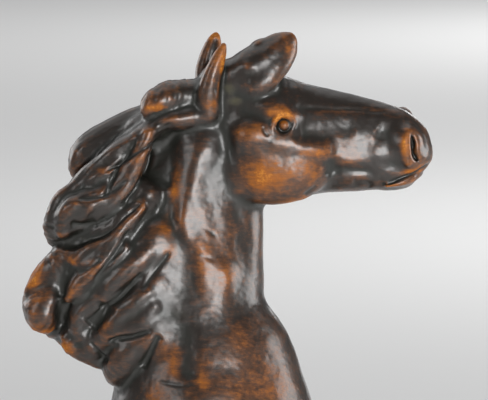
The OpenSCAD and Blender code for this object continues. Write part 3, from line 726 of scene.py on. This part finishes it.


# Warm, dark and dusty places on both sides: [centre], [half size], strength. The dark places are partly dark
# patina and partly painted shade.
WARM_UPPER = [
    ([34, -20, 428], [20, 16, 34], 0.42), ([44, -26, 384], [32, 22, 22], 0.42),
    ([88, -12, 472], [14, 8, 10], 0.34), ([57, -19, 463], [14, 8, 11], 1.0),
    ([74, -15, 466], [11, 6, 8], 0.75), ([62, -17, 488.6], [8, 5, 3.4], 0.9),
    ([52, -16, 482], [8, 6, 4.4], 0.75), ([76, -15, 472.4], [9, 4, 2.2], 1.0),
    ([38.8, -15, 508], [1.9, 5, 8], 1.0), ([37.4, -15, 499], [1.9, 5, 6], 1.0),
    ([34, -14, 493.4], [3.6, 5, 2.6], 0.9), ([67, -9, 517], [2.4, 6, 3.4], 0.8),
    ([34.6, 12, 521.4], [2.6, 6, 2.6], 0.6), ([117.6, -11, 474.6], [1.9, 5, 6.0], 0.85),
    ([122, -8, 463.4], [7, 5, 1.6], 0.9), ([110, -9, 458], [3, 4, 1.6], 0.7),
    ([92, -9, 489.9], [19, 4, 0.9], 0.5), ([94, -8, 465.2], [10, 5, 1.2], 0.6),
    ([70, -10, 450.6], [9, 8, 2.6], 0.8), ([103, -11, 474], [4, 5, 6], 0.3),
    ([11, -14, 491.4], [5, 6, 2.0], 1.0), ([-11.6, -13, 464.6], [7, 5, 1.7], 1.0),
    ([-21, -12, 454.6], [9, 5, 2.2], 0.7), ([1, -13, 472], [3, 5, 7], 0.6),
    ([17.4, -15, 457], [3.0, 7, 13], 1.0), ([15, -16, 440], [4.4, 7, 8], 0.95),
    ([16, -17, 430], [4, 6, 5], 0.7), ([-13, -14, 431], [5, 6, 3.6], 0.9),
    ([-25, -12, 425], [9, 7, 3.4], 0.9), ([-43, -8, 413], [4.4, 9, 12], 1.0),
    ([-42, -8, 394.6], [6, 8, 3.4], 0.9), ([-21, -13, 412], [6, 6, 3.0], 0.7),
    ([-28, -10, 386.4], [9, 8, 3], 0.8), ([-11, -16, 397], [4, 5, 3.0], 0.8),
    ([-10, -16, 387.6], [3.4, 5, 2.0], 0.8), ([-4, -14, 422], [4, 6, 3], 0.5),
    ([39, -19, 415], [4, 9, 9], 0.55), ([30, -21, 408], [9, 8, 5], 0.4),
    ([60, -30, 372], [26, 18, 13], 0.7), ([30, -30, 374.6], [3.4, 9, 4.6], 1.0),
    ([16, -26, 384], [7, 10, 10], 0.75), ([46, -24, 392], [12, 14, 10], 0.5),
    ([10, -26, 366], [7, 12, 8], 0.8), ([55, -12, 430], [4, 9, 14], 0.35),
    ([34, -29, 358], [30, 12, 8], 0.5),
]
# Dark patina in the recesses of mane and neck, and painted shade on the top of the nose.
DARK_AND_SHADE_UPPER = [
    ([-14, -12, 474], [26, 30, 20], 0.5), ([-24, -12, 440], [24, 30, 20], 0.5),
    ([-12, -12, 400], [24, 14, 26], 0.5), ([10, -10, 468], [6, 20, 14], 1.0),
    ([40, -8, 498], [12, 20, 8], 0.6), ([15, -20, 402], [9, 12, 9], 1.0),
    ([24, -24, 393], [9, 12, 7], 0.7), ([36, -14, 470], [4, 9, 18], 0.7),
    ([92, 0, 496], [34, 12, 4], 0.7), ([48, -12, 490], [8, 9, 5], 0.7),
    ([0, -16, 381], [9, 9, 10], 0.7), ([-14, -15, 401], [6, 7, 5], 0.8),
    ([96, -10, 484], [14, 6, 2.6], 0.5), ([-29, -12, 415], [4, 7, 6], 0.6),
    ([106, -10, 470], [4, 5, 9], 0.4), ([50, -8, 510], [12, 12, 7], 0.6),
    ([-8, -6, 484], [14, 9, 6], 0.6), ([23, -28, 381], [2.4, 9, 7], 0.7),
]
DUSTY_UPPER = [
    ([42, -11, 500], [4, 6, 4], 1.0), ([44, -12, 494.6], [5, 6, 3], 0.9),
    ([50, -8, 511], [9, 8, 4], 0.7), ([19, -8, 499.6], [4, 9, 3.6], 0.7),
    ([2, -14, 451.4], [3, 5, 2.4], 0.8), ([-20, -11, 434.4], [9, 5, 1.6], 0.6),
    ([20, -20, 402], [9, 9, 5], 0.5), ([13, -13, 477], [5, 6, 5], 0.4),
    ([80, -3, 498], [16, 6, 3], 0.4),
]
WARM_LOWER = [([-30, -40, 170], [26, 20, 22], 0.7), ([30, -40, 330], [24, 20, 26], 0.6),
              ([-60, -38, 230], [24, 18, 22], 0.6), ([95, -28, 289], [24, 20, 10], 0.5),
              ([56, -20, 346], [22, 16, 14], 0.6), ([-50, -28, 110], [10, 9, 14], 0.5)]
# Painted shade under the belly and between the hind legs.
SHADE_UNDER_BELLY = [([20, 0, 250], [30, 30, 16], 0.6), ([-30, 0, 200], [24, 22, 20], 0.6)]


def clay_step(millimetres):
    return millimetres * 1.0


def worked_upper(low, high, step):
    """Head, neck and mane modelled inside a box, tooled and marked for the patina."""
    clay = Clay(low, high, clay_step(step))
    model_body(clay)
    clay.soften(1.6)
    model_head(clay)
    clay.soften(1.1)
    model_mane(clay)
    clay.soften(0.6)
    model_features(clay)
    skin = Skin(clay)
    drawn(skin, NECK_LINES)
    for side in (NEAR, FAR):
        for centre, half, lean in FACETS:
            skin.facet(side, centre, half, lean)
    drawn(skin, HEAD_LINES)
    drawn(skin, MANE_LINES)
    skin.find_normals()
    hair(skin, maned(skin.points), 40, 0.15)
    skin.find_normals()
    tooled(skin)
    return skin, patina_marks(skin, WARM_UPPER, DARK_AND_SHADE_UPPER, DUSTY_UPPER)


def seam_planes():
    """The planes of the head's seam and of the mane's, each as point and normal."""
    tilt = math.radians(HEAD_SEAM_TILT)
    head = ((HEAD_SEAM[0], 0, HEAD_SEAM[1]), (math.sin(tilt), 0, math.cos(tilt)))
    (x0, z0), (x1, z1) = MANE_SEAM
    return head, ((x0, 0, z0), Vector((z0 - z1, 0, x1 - x0)).normalized())


def make_head(sizes):
    """The head: modelled, and cut off square to the throat at its seam."""
    skin, marks = worked_upper(*HEAD_BLOCK, sizes.head_step)
    mesh = skin_mesh("head_clay", skin, marks)
    head, _ = seam_planes()
    cut_piece("head", mesh, [(*head, 1)], None, "head_casting")
    bpy.data.meshes.remove(mesh)


def make_neck(sizes):
    """The neck and the mane: one skin, parted on the flat seam behind the neck."""
    skin, marks = worked_upper(*NECK_BLOCK, sizes.neck_step)
    mesh = skin_mesh("neck_clay", skin, marks)
    head, mane = seam_planes()
    base = ((0, 0, NECK_SEAM), (0, 0, 1), 1)
    cut_piece("neck", mesh, [(*head, -1), (*mane, 1), base], None, "neck_casting")
    cut_piece("mane", mesh, [(*head, -1), (*mane, -1), base], None, "mane_casting")
    bpy.data.meshes.remove(mesh)


def make_trunk(sizes):
    """Trunk and legs: one skin, parted by planes across the legs.

    The forelegs' plane also parts the front of the breast from the trunk. It goes half to
    each foreleg, and those two pieces are open along the middle.
    """
    clay = Clay(*BODY_BLOCK, clay_step(sizes.body_step))
    model_body(clay)
    clay.soften(1.8)
    model_hooves(clay)
    skin = Skin(clay)
    tooled(skin, 1.3)
    mesh = skin_mesh("trunk_clay", skin, patina_marks(skin, WARM_LOWER, SHADE_UNDER_BELLY))
    top = ((0, 0, NECK_SEAM), (0, 0, 1), -1)
    floor = ((0, 0, GROUND_TOP), (0, 0, 1), 1)
    fore = ((68, 0, 290), (1, 0, 0.1))
    hind = ((-30, 0, 172), Vector((-0.25, 0, 1)).normalized())
    cut_piece("trunk", mesh, [top, (*fore, -1), (*hind, 1)], None, "trunk_casting")
    legs = (("foreleg_", [top, (*fore, 1)]), ("hind_leg_", [floor, (*hind, -1)]))
    for way, side in (("right", NEAR), ("left", FAR)):
        for leg, cuts in legs:
            cut_piece(leg + way + "_bronze", mesh, cuts, side, leg + way)
    bpy.data.meshes.remove(mesh)


TAIL_STRANDS = 5
TAIL_WIND = 2.4                 # radians that a strand turns from root to tip
TAIL = [[-86, 0, 207, 7, 7], [-99, 0, 208, 9, 8.5], [-112, 0, 193, 11.5, 11], [-118, 0, 163, 13.5, 12.5],
        [-115, 0, 128, 14.5, 13], [-106, 0, 92, 12, 11], [-97.5, 0, 64, 8.5, 8], [-93, 0, 43, 6.8, 6.4]]


def make_tail(sizes):
    """The tail: a core and strands that wind round it."""
    clay = Clay(*TAIL_BLOCK, clay_step(sizes.tail_step))
    clay.strand(TAIL, blend=2)
    core = np.array(TAIL, dtype=float)
    for i in range(TAIL_STRANDS):
        turn = np.linspace(0, TAIL_WIND, len(core)) + 2 * math.pi * i / TAIL_STRANDS
        lock = core.copy()
        lock[:, 0] += 0.55 * core[:, 3] * np.cos(turn)
        lock[:, 1] += 0.6 * core[:, 4] * np.sin(turn)
        lock[:, 3:] *= 0.5
        clay.strand(lock, blend=1.6, flutes=3, deep=0.1, twist=1.0)
    skin = Skin(clay)
    hair(skin, smoothstep(206, 190, skin.points[:, 2]), 84, 0.4)
    skin.find_normals()
    tooled(skin)
    mesh = skin_mesh("tail_clay", skin, patina_marks(skin, [([-118, 0, 160], [16, 20, 30], 0.5)], []))
    floor = ((0, 0, GROUND_TOP), (0, 0, 1), 1)
    cut_piece("tail", mesh, [floor], None, "tail_casting")
    bpy.data.meshes.remove(mesh)


def rings_mesh(name, rings):
    """A closed mesh from rings of points, in mm, going up; the first and last are filled."""
    count, sides = rings.shape[:2]
    points = (rings.reshape(-1, 3) * MM).tolist()
    faces = [tuple(range(sides))[::-1], tuple(range((count - 1) * sides, count * sides))]
    for i in range(count - 1):
        for j in range(sides):
            k = (j + 1) % sides
            faces.append((i * sides + j, i * sides + k, (i + 1) * sides + k, (i + 1) * sides + j))
    mesh = bpy.data.meshes.new(name)
    mesh.from_pydata(points, [], faces)
    return mesh


# The ground's profile from its foot to its middle: [share of the rim, share of the height].
GROUND_EDGE = [[1.0, 0.0], [1.0, 0.2], [0.995, 0.45], [0.99, 0.62], [0.975, 0.8], [0.955, 0.9],
               [0.93, 0.965], [0.9, 1.0], [0.8, 1.0], [0.65, 1.0], [0.5, 1.0], [0.35, 1.0],
               [0.2, 1.0], [0.08, 1.0]]
GROUND_HALF_LENGTH, GROUND_HALF_BREADTH = 116, 52
FEET = [(-21.5, -26), (-34.5, 26), (-93, 0)]         # where hooves and tail stand, left flat
BLOCK_CORNER = 3.0              # mm: radius of the upright edges of plinth and felt


def make_ground():
    """The bronze ground: a rounded oblong whose rim wanders, rough between the feet.

    The rim at angle a is the quartic curve (|cos a / half length|^4 + |sin a / half
    breadth|^4)^(-1/4) times 0.965 + 0.02 cos(3a + 40 deg) + 0.015 cos(5a - 70 deg).
    """
    low, high = (np.array(c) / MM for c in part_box("ground_casting"))
    sides = 360
    edge = smooth_path(GROUND_EDGE, 6)
    a = np.linspace(0, 2 * math.pi, sides, endpoint=False)
    rim = (np.abs(np.cos(a) / GROUND_HALF_LENGTH) ** 4
           + np.abs(np.sin(a) / GROUND_HALF_BREADTH) ** 4) ** -0.25
    rim *= 0.965 + 0.02 * np.cos(3 * a + math.radians(40)) + 0.015 * np.cos(5 * a - math.radians(70))
    share, height = edge[:, 0, None], np.clip(edge[:, 1, None], 0, 1)
    rings = np.stack([share * rim * np.cos(a), share * rim * np.sin(a),
                      low[2] + height * (high[2] - low[2]) + 0 * a], axis=-1)
    flat = rings.reshape(-1, 3)
    rough = 0.8 * waves(flat, 32.0, 21) + 0.4 * waves(flat, 13.0, 22) + 0.15 * waves(flat, 5.5, 23)
    calm = np.max([smoothstep(24, 13, np.hypot(flat[:, 0] - x, flat[:, 1] - y)) for x, y in FEET], axis=0)
    top = smoothstep(0.55, 0.97, (flat[:, 2] - low[2]) / (high[2] - low[2]))
    flat[:, 2] -= top * (1 - calm) * np.clip(2.0 + rough, 0, None)
    walls = (1 - top) * smoothstep(0.0, 0.2, (flat[:, 2] - low[2]) / (high[2] - low[2]))
    flat[:, :2] *= (1 - 0.012 * walls * (1 + np.clip(rough, -1, 1)))[:, None]
    flat[:, :2] = np.clip(flat[:, :2], low[:2], high[:2])
    mesh = rings_mesh("ground", rings)
    smooth_walls(mesh)
    place_piece("ground", mesh, rough_bronze(), ["ground_casting"])


def smooth_walls(mesh):
    """Smooth shading on a mesh of rings, but for its two ends."""
    mesh.polygons.foreach_set("use_smooth", [False] * 2 + [True] * (len(mesh.polygons) - 2))


def slab(node, corner, profile):
    """A slab round a CAD node's box: a profile of [inset, height share] round its rim."""
    low, high = (np.array(c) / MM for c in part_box(node))
    steps = 12
    turn = np.concatenate([np.linspace(q, q + 1, steps) for q in range(4)]) * math.pi / 2
    way = np.repeat(np.arange(4), steps)
    sign = np.array([[1, 1], [-1, 1], [-1, -1], [1, -1]])[way]
    middle = (high[:2] + low[:2]) / 2
    rings = []
    for inset, share in profile:
        centre = middle + sign * ((high[:2] - low[:2]) / 2 - corner)
        radius = max(corner - inset, 0.05)
        ring = centre + radius * np.stack([np.cos(turn), np.sin(turn)], axis=1)
        if inset > corner:
            ring = ring - sign * (inset - corner)
        rings.append(np.column_stack([ring, np.full(len(ring), low[2] + share * (high[2] - low[2]))]))
    return rings_mesh(node + "_slab", np.array(rings))


def make_plinth():
    """The stone block, with a small polished round on its edges."""
    round_mm = 1.6
    height = (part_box("plinth")[1][2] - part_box("plinth")[0][2]) / MM
    a = np.linspace(0, math.pi / 2, 6)
    foot = [[round_mm * (1 - math.sin(t)), round_mm * (1 - math.cos(t)) / height] for t in a]
    head = [[round_mm * (1 - math.cos(t)), 1 - round_mm * (1 - math.sin(t)) / height] for t in a]
    mesh = slab("plinth", BLOCK_CORNER, foot + head)
    smooth_walls(mesh)
    mesh.set_sharp_from_angle(angle=math.radians(40))
    place_piece("stone", mesh, stone(), ["plinth"])


def make_felt():
    """The felt, with its edge pressed a little round."""
    mesh = slab("felt_base", BLOCK_CORNER, [[0.6, 0.0], [0.0, 0.3], [0.0, 0.8], [0.3, 1.0]])
    place_piece("felt", mesh, felt(), ["felt_base"])


def finish_fixings():
    """Gives the CAD's own bodies their metals, by the slots of the record."""
    bronze, steel = turned("turned_bronze", (0.72, 0.44, 0.20)), turned("zinc_steel", (0.62, 0.63, 0.64))
    metals = {"raw_bronze": bronze, "steel": steel}
    for row in frame["record"]["subparts"]:
        metal = metals.get(row["material_slot"])
        if metal is None:
            continue
        for slot in frame["nodes"][row["node"]].material_slots:
            slot.material = metal


# ------------------------------------------------------------------ shader sums
class Socket:
    """A shader socket that can be used in sums; each sum adds its Math node."""

    def __init__(self, tree, output):
        self.tree, self.output = tree, output

    def math(self, operation, *values, clamp=False):
        """One Math node, fed by sockets or numbers."""
        node = self.tree.nodes.new("ShaderNodeMath")
        node.operation, node.use_clamp = operation, clamp
        for pin, value in zip(node.inputs, values):
            feed(self.tree, pin, value)
        return Socket(self.tree, node.outputs[0])

    def __add__(self, other):
        return self.math("ADD", self, other)

    def __sub__(self, other):
        return self.math("SUBTRACT", self, other)

    def __rsub__(self, other):
        return self.math("SUBTRACT", other, self)

    def __mul__(self, other):
        return self.math("MULTIPLY", self, other)

    __radd__ = __add__
    __rmul__ = __mul__

    def clamp(self):
        """The value held between 0 and 1."""
        return self.math("ADD", self, 0.0, clamp=True)

    def above(self, low, high):
        """0 below low and 1 above high, easing between."""
        node = self.tree.nodes.new("ShaderNodeMapRange")
        node.interpolation_type = "SMOOTHSTEP"
        feed(self.tree, node.inputs["Value"], self)
        node.inputs["From Min"].default_value = low
        node.inputs["From Max"].default_value = high
        return Socket(self.tree, node.outputs["Result"])


def feed(tree, pin, value):
    """Links a socket into an input, or sets a number or colour on it."""
    if isinstance(value, Socket):
        tree.links.new(value.output, pin)
    elif isinstance(value, (tuple, list)) and len(value) == 3 and len(pin.default_value) == 4:
        pin.default_value = (*value, 1.0)
    else:
        pin.default_value = value


class Finish:
    """A material being built: nodes come from one method, colours go through mix."""

    def __init__(self, name):
        self.material = bpy.data.materials.new(name)
        self.material.use_nodes = True
        self.tree = self.material.node_tree
        self.shader = self.tree.nodes["Principled BSDF"]

    def node(self, kind, output=0, settings=None, **inputs):
        """Any node: its settings first, then the values or links of its inputs by name."""
        node = self.tree.nodes.new(kind)
        for key, value in (settings or {}).items():
            setattr(node, key, value)
        for key, value in inputs.items():
            feed(self.tree, node.inputs[key.replace("_", " ")], value)
        return Socket(self.tree, node.outputs[output])

    def where(self):
        """Object coordinates in millimetres."""
        place = self.node("ShaderNodeTexCoord", "Object")
        return self.node("ShaderNodeVectorMath", 0, {"operation": "SCALE"}, Vector=place, Scale=1 / MM)

    def stretched(self, place, scale, turn=(0, 0, 0)):
        """Coordinates turned and then scaled on each axis."""
        return self.node("ShaderNodeMapping", 0, None, Vector=place, Rotation=turn, Scale=scale)

    def noise(self, place, size, detail=3.0, rough=0.55):
        """Noise from 0 to 1 with blobs about size millimetres across."""
        return self.node("ShaderNodeTexNoise", 0, None, Vector=place, Scale=1 / size, Detail=detail,
                         Roughness=rough)

    def mark(self, name):
        """A number painted on the piece's points."""
        return self.node("ShaderNodeAttribute", "Fac", {"attribute_name": name})

    def mix(self, share, a, b):
        """Colour a, going to b as share goes to 1."""
        node = self.tree.nodes.new("ShaderNodeMix")
        node.data_type = "RGBA"
        for pin, value in ((0, share), (6, a), (7, b)):
            feed(self.tree, node.inputs[pin], value)
        return Socket(self.tree, node.outputs[2])

    def bump(self, height, distance_mm, strength=1.0, under=None):
        """A Bump node; under is another bump that it adds to."""
        links = {"Height": height} if under is None else {"Height": height, "Normal": under}
        return self.node("ShaderNodeBump", 0, None, Strength=strength, Distance=distance_mm * MM, **links)

    def surface(self, **inputs):
        """Sets or links the shader's own inputs."""
        for key, value in inputs.items():
            feed(self.tree, self.shader.inputs[key.replace("_", " ")], value)
        return self.material


def patina(name):
    """Waxed brown patina: near-black in hollows, brown on flanks, amber where it is rubbed, darker in zones
    that are partly painted shade.
    """
    known = bpy.data.materials.get(name)
    if known:
        return known
    look = bpy.context.scene.bronze_look
    f = Finish(name)
    place = f.where()
    edge, swell, rub, dark_and_shade, dust = (f.mark(k) for k in ("edge", "swell", "rub", "dark_and_shade", "dust"))
    cloud = f.noise(place, 14.0, 4.0)
    mottle = f.noise(place, 3.0, 4.0, 0.65)
    streak = f.noise(f.stretched(place, (0.28, 1.2, 1.3), (0, 0.3, 0)), 1.6, 4.0, 0.7)
    speck = f.noise(place, 0.55, 2.0, 0.8)
    grain = f.noise(place, 0.9, 3.0, 0.7)
    proud = swell * 0.28 + edge * 0.12
    # The dark zones, partly painted shade, hold the warm colours back and deepen the hollow colour.
    warmth = (rub + proud - 0.10 + (cloud - 0.5) * 0.7 + (mottle - 0.5)
              + (streak - 0.5) * 1.2 - dark_and_shade * 0.6)
    brown = warmth.above(-0.08, 0.60)
    amber = warmth.above(0.36, 1.10)
    bright = (warmth + (grain - 0.5) * 1.2).above(1.0, 1.6)
    hollow = (dark_and_shade * 0.45 - swell * 0.5 - edge * 0.3 + (mottle - 0.5) * 0.4).above(0.05, 0.8)
    colour = f.mix(brown, tuple(look.dark), tuple(look.brown))
    colour = f.mix(amber, colour, tuple(look.amber))
    colour = f.mix(bright * 0.7, colour, tuple(look.gold))
    colour = f.mix(hollow * 0.85, colour, tuple(look.hollow))
    powder = (dust * (0.35 + mottle * 0.9)).above(0.25, 1.1) * 0.6
    colour = f.mix(powder, colour, tuple(look.dust))
    colour = f.mix((speck.above(0.70, 0.75) * (1 - amber)) * 0.45, colour, (0.20, 0.16, 0.10))
    shine = (0.36 + amber * 0.2 + rub * 0.08 + (mottle - 0.5) * 0.16 + hollow * 0.16
             + powder * 0.5 + (speck - 0.5) * 0.10).clamp()
    coat = (look.wax - powder - amber * 0.3 - rub * 0.45 - dark_and_shade * 0.25).clamp()
    fine = f.bump(speck, 0.05, 0.6)
    bump = f.bump(grain, 0.10, 0.6, fine)
    return f.surface(Base_Color=colour, Metallic=(0.22 - powder).clamp(), Roughness=shine,
                     Coat_Weight=coat, Coat_Roughness=0.25, Coat_IOR=1.5,
                     Specular_IOR_Level=0.35, Normal=bump)


def rough_bronze():
    """The ground's patina: dark brown with warmer patches and pale flecks laid at random."""
    f = Finish("ground_patina")
    place = f.where()
    cloud = f.noise(place, 18.0, 4.0)
    mottle = f.noise(place, 3.4, 4.0, 0.65)
    grain = f.noise(place, 0.9, 3.0, 0.7)
    share = (cloud * 0.9 + (mottle - 0.5)).above(0.35, 0.85)
    colour = f.mix(share, (0.022, 0.017, 0.012), (0.12, 0.05, 0.02))
    colour = f.mix(grain.above(0.62, 0.7) * 0.3, colour, (0.22, 0.15, 0.08))
    return f.surface(Base_Color=colour, Metallic=0.4, Roughness=(0.34 + (mottle - 0.5) * 0.3).clamp(),
                     Coat_Weight=0.4, Coat_Roughness=0.2, Normal=f.bump(mottle + grain * 0.4, 0.5, 0.7))


def stone():
    """Black stone, polished, with faint grey veins and flecks."""
    f = Finish("black_stone")
    place = f.where()
    warp = f.noise(place, 40.0, 5.0, 0.6) - 0.5
    vein = (1 - warp.math("ABSOLUTE", warp) * 40).clamp()
    fleck = f.noise(place, 0.8, 2.0, 0.8).above(0.68, 0.78)
    colour = f.mix(vein * 0.3, (0.012, 0.012, 0.013), (0.16, 0.155, 0.15))
    colour = f.mix(fleck * 0.25, colour, (0.10, 0.10, 0.105))
    return f.surface(Base_Color=colour, Roughness=(0.12 + fleck * 0.15).clamp(), Specular_IOR_Level=0.5)


def felt():
    """Green baize: matt, with short matted fibres."""
    f = Finish("green_felt")
    place = f.where()
    fibre = f.noise(f.stretched(place, (1, 1, 2.4)), 0.35, 4.0, 0.8)
    colour = f.mix(fibre, (0.012, 0.030, 0.014), (0.045, 0.085, 0.040))
    return f.surface(Base_Color=colour, Roughness=0.97, Sheen_Weight=0.3, Normal=f.bump(fibre, 0.3))


def turned(name, colour):
    """Bare metal off the lathe: fine rings, a few stains."""
    f = Finish(name)
    place = f.where()
    rings = f.noise(f.stretched(place, (0.2, 0.2, 6.0)), 1.0, 2.0)
    stain = f.noise(place, 6.0, 3.0).above(0.45, 0.8)
    tint = f.mix(stain * 0.4, colour, tuple(c * 0.55 for c in colour))
    return f.surface(Base_Color=tint, Metallic=1.0, Roughness=(0.26 + (rings - 0.5) * 0.2).clamp(),
                     Normal=f.bump(rings, 0.03, 0.5))


# ------------------------------------------------------------------ the add-on
class BronzeSizes(bpy.types.PropertyGroup):
    """How finely the clay is modelled."""
    head_step: bpy.props.FloatProperty(
        name="Head", description="Clay grid of the head, in millimetres", default=0.46, min=0.35, max=2)
    neck_step: bpy.props.FloatProperty(
        name="Neck", description="Clay grid of neck and mane, in millimetres", default=0.62, min=0.5, max=2)
    body_step: bpy.props.FloatProperty(
        name="Body", description="Clay grid of trunk and legs, in millimetres", default=0.95, min=0.7, max=3)
    tail_step: bpy.props.FloatProperty(
        name="Tail", description="Clay grid of the tail, in millimetres", default=0.7, min=0.5, max=3)


class BronzeLook(bpy.types.PropertyGroup):
    """Colours of the patina."""
    dark: bpy.props.FloatVectorProperty(
        name="Dark", description="Patina on plain surfaces", subtype="COLOR", default=(0.018, 0.013, 0.010))
    brown: bpy.props.FloatVectorProperty(
        name="Brown", description="Patina where it is thinner", subtype="COLOR",
        default=(0.085, 0.032, 0.011))
    amber: bpy.props.FloatVectorProperty(
        name="Amber", description="Bronze that shows through where it is rubbed", subtype="COLOR",
        default=(0.26, 0.080, 0.007))
    gold: bpy.props.FloatVectorProperty(
        name="Gold", description="The most rubbed places", subtype="COLOR", default=(0.68, 0.27, 0.03))
    hollow: bpy.props.FloatVectorProperty(
        name="Hollow", description="Patina in the hollows", subtype="COLOR", default=(0.010, 0.011, 0.008))
    dust: bpy.props.FloatVectorProperty(
        name="Dust", description="Old wax and dust in the hollows", subtype="COLOR",
        default=(0.105, 0.095, 0.050))
    wax: bpy.props.FloatProperty(
        name="Wax", description="Weight of the wax coat", default=0.6, min=0, max=1, subtype="FACTOR")


class BRONZE_OT_head(bpy.types.Operator):
    """Models the head"""
    bl_idname = "bronze.head"
    bl_label = "Head"

    def execute(self, context):
        make_head(context.scene.bronze_sizes)
        return {"FINISHED"}


class BRONZE_OT_neck(bpy.types.Operator):
    """Models the neck and the mane"""
    bl_idname = "bronze.neck"
    bl_label = "Neck and mane"

    def execute(self, context):
        make_neck(context.scene.bronze_sizes)
        return {"FINISHED"}


class BRONZE_OT_trunk(bpy.types.Operator):
    """Models the trunk and the legs"""
    bl_idname = "bronze.trunk"
    bl_label = "Trunk and legs"

    def execute(self, context):
        make_trunk(context.scene.bronze_sizes)
        return {"FINISHED"}


class BRONZE_OT_tail(bpy.types.Operator):
    """Models the tail"""
    bl_idname = "bronze.tail"
    bl_label = "Tail"

    def execute(self, context):
        make_tail(context.scene.bronze_sizes)
        return {"FINISHED"}


class BRONZE_OT_base(bpy.types.Operator):
    """Models the bronze ground, the stone plinth and its felt"""
    bl_idname = "bronze.base"
    bl_label = "Ground, plinth and felt"

    def execute(self, context):
        make_ground()
        make_plinth()
        make_felt()
        return {"FINISHED"}


class BRONZE_OT_fixings(bpy.types.Operator):
    """Gives the hidden fixings their metals"""
    bl_idname = "bronze.fixings"
    bl_label = "Fixings"

    def execute(self, context):
        finish_fixings()
        return {"FINISHED"}


class BRONZE_OT_stage(bpy.types.Operator):
    """Lays the floor and sets the lights and the camera"""
    bl_idname = "bronze.stage"
    bl_label = "Stage"

    def execute(self, context):
        make_stage(context.scene)
        return {"FINISHED"}


class BRONZE_PT_panel(bpy.types.Panel):
    """Lists the steps in order"""
    bl_label = "Rearing horse"
    bl_space_type = "VIEW_3D"
    bl_region_type = "UI"
    bl_category = "Bronze"

    def draw(self, context):
        for group in (context.scene.bronze_sizes, context.scene.bronze_look):
            for key in group.__annotations__:
                self.layout.prop(group, key)
        for step in STEPS:
            self.layout.operator(step.bl_idname)


def make_floor(scene):
    """A plain pale floor, wide enough to fill the view from every side."""
    r = FLOOR_REACH
    corners = [(-r, -r, 0), (r, -r, 0), (r, r, 0), (-r, r, 0)]
    mesh = bpy.data.meshes.new("floor")
    mesh.from_pydata(corners, [], [(0, 1, 2, 3)])
    floor = bpy.data.objects.new("floor", mesh)
    scene.collection.objects.link(floor)
    paper = Finish("paper")
    grain = paper.noise(paper.where(), 60.0, 2.0)
    mesh.materials.append(paper.surface(
        Base_Color=paper.mix(grain * 0.1, (0.76, 0.76, 0.755), (0.70, 0.70, 0.70)), Roughness=0.9))


# Name, place in metres, size in metres, watts, and what it is aimed at.
LAMPS = [
    ("key", (0.42, -1.30, 0.50), 0.50, 15.0, (0.04, 0, 0.43)),
    ("fill", (-1.0, -0.85, 0.80), 0.45, 3.0, (0.0, 0, 0.42)),
    ("rim", (-0.9, 0.65, 0.75), 0.7, 5.0, (0.0, 0, 0.42)),
    ("side", (1.1, 0.0, 0.55), 0.6, 8.0, (0.04, 0, 0.43)),
    ("near floor", (1.1, 3.7, 1.8), 1.0, 24.0, (1.1, 3.8, 0.0)),
    ("far floor", (3.0, 9.0, 2.5), 2.0, 110.0, (1.6, 9.0, 0.0)),
]
SKY_TURN = (math.radians(-18), math.radians(-14), 0)
SKY_POWER, SKY_SPREAD = 1.3, math.radians(80)
WORLD_COLOUR, WORLD_STRENGTH = (0.80, 0.81, 0.84, 1), 0.16
FLOOR_REACH = 18.0              # metres from the middle
CAMERA_AIM = (0.0478, 0, 0.450)
CAMERA_DISTANCE, CAMERA_RISE = 1.5, math.radians(6)
CAMERA_SENSOR = 36              # mm
VIEW_WIDTH = 0.2147             # metres across the picture at the aim


def make_stage(scene):
    """The floor, a dim world, soft lights, and a long lens aimed at the throat."""
    make_floor(scene)
    world = bpy.data.worlds.new("studio")
    scene.world = world
    world.use_nodes = True
    background = world.node_tree.nodes["Background"]
    background.inputs[0].default_value = WORLD_COLOUR
    background.inputs[1].default_value = WORLD_STRENGTH
    for name, at, size, power, aim in LAMPS:
        data = bpy.data.lights.new(name, "AREA")
        data.shape, data.size, data.energy = "SQUARE", size, power
        lamp = bpy.data.objects.new(name, data)
        lamp.location = at
        lamp.rotation_euler = (Vector(aim) - Vector(at)).to_track_quat("-Z", "Y").to_euler()
        scene.collection.objects.link(lamp)
    data = bpy.data.lights.new("sky", "SUN")
    data.energy, data.angle = SKY_POWER, SKY_SPREAD
    sky = bpy.data.objects.new("sky", data)
    sky.rotation_euler = SKY_TURN
    scene.collection.objects.link(sky)
    aim = Vector(CAMERA_AIM)
    data = bpy.data.cameras.new("camera")
    data.sensor_width = CAMERA_SENSOR
    data.lens = data.sensor_width * CAMERA_DISTANCE / VIEW_WIDTH
    data.clip_start, data.clip_end = 0.05, 50
    camera = bpy.data.objects.new("camera", data)
    away = Vector((0, -math.cos(CAMERA_RISE), math.sin(CAMERA_RISE)))
    camera.location = aim + CAMERA_DISTANCE * away
    camera.rotation_euler = (aim - camera.location).to_track_quat("-Z", "Y").to_euler()
    scene.collection.objects.link(camera)
    scene.camera = camera
    scene.view_settings.view_transform = "Standard"


STEPS = [BRONZE_OT_head, BRONZE_OT_neck, BRONZE_OT_trunk, BRONZE_OT_tail, BRONZE_OT_base,
         BRONZE_OT_fixings, BRONZE_OT_stage]
CLASSES = [BronzeSizes, BronzeLook, *STEPS, BRONZE_PT_panel]


def register():
    """Registers the classes and hangs the sizes and the look on the scene."""
    for kind in CLASSES:
        bpy.utils.register_class(kind)
    bpy.types.Scene.bronze_sizes = bpy.props.PointerProperty(type=BronzeSizes)
    bpy.types.Scene.bronze_look = bpy.props.PointerProperty(type=BronzeLook)


def unregister():
    """Takes them off again."""
    del bpy.types.Scene.bronze_look
    del bpy.types.Scene.bronze_sizes
    for kind in reversed(CLASSES):
        bpy.utils.unregister_class(kind)


def main():
    """Makes every piece in order, then the stage."""
    register()
    bpy.ops.bronze.head()
    bpy.ops.bronze.neck()
    bpy.ops.bronze.trunk()
    bpy.ops.bronze.tail()
    bpy.ops.bronze.base()
    bpy.ops.bronze.fixings()
    bpy.ops.bronze.stage()


if __name__ == "__main__":
    main()
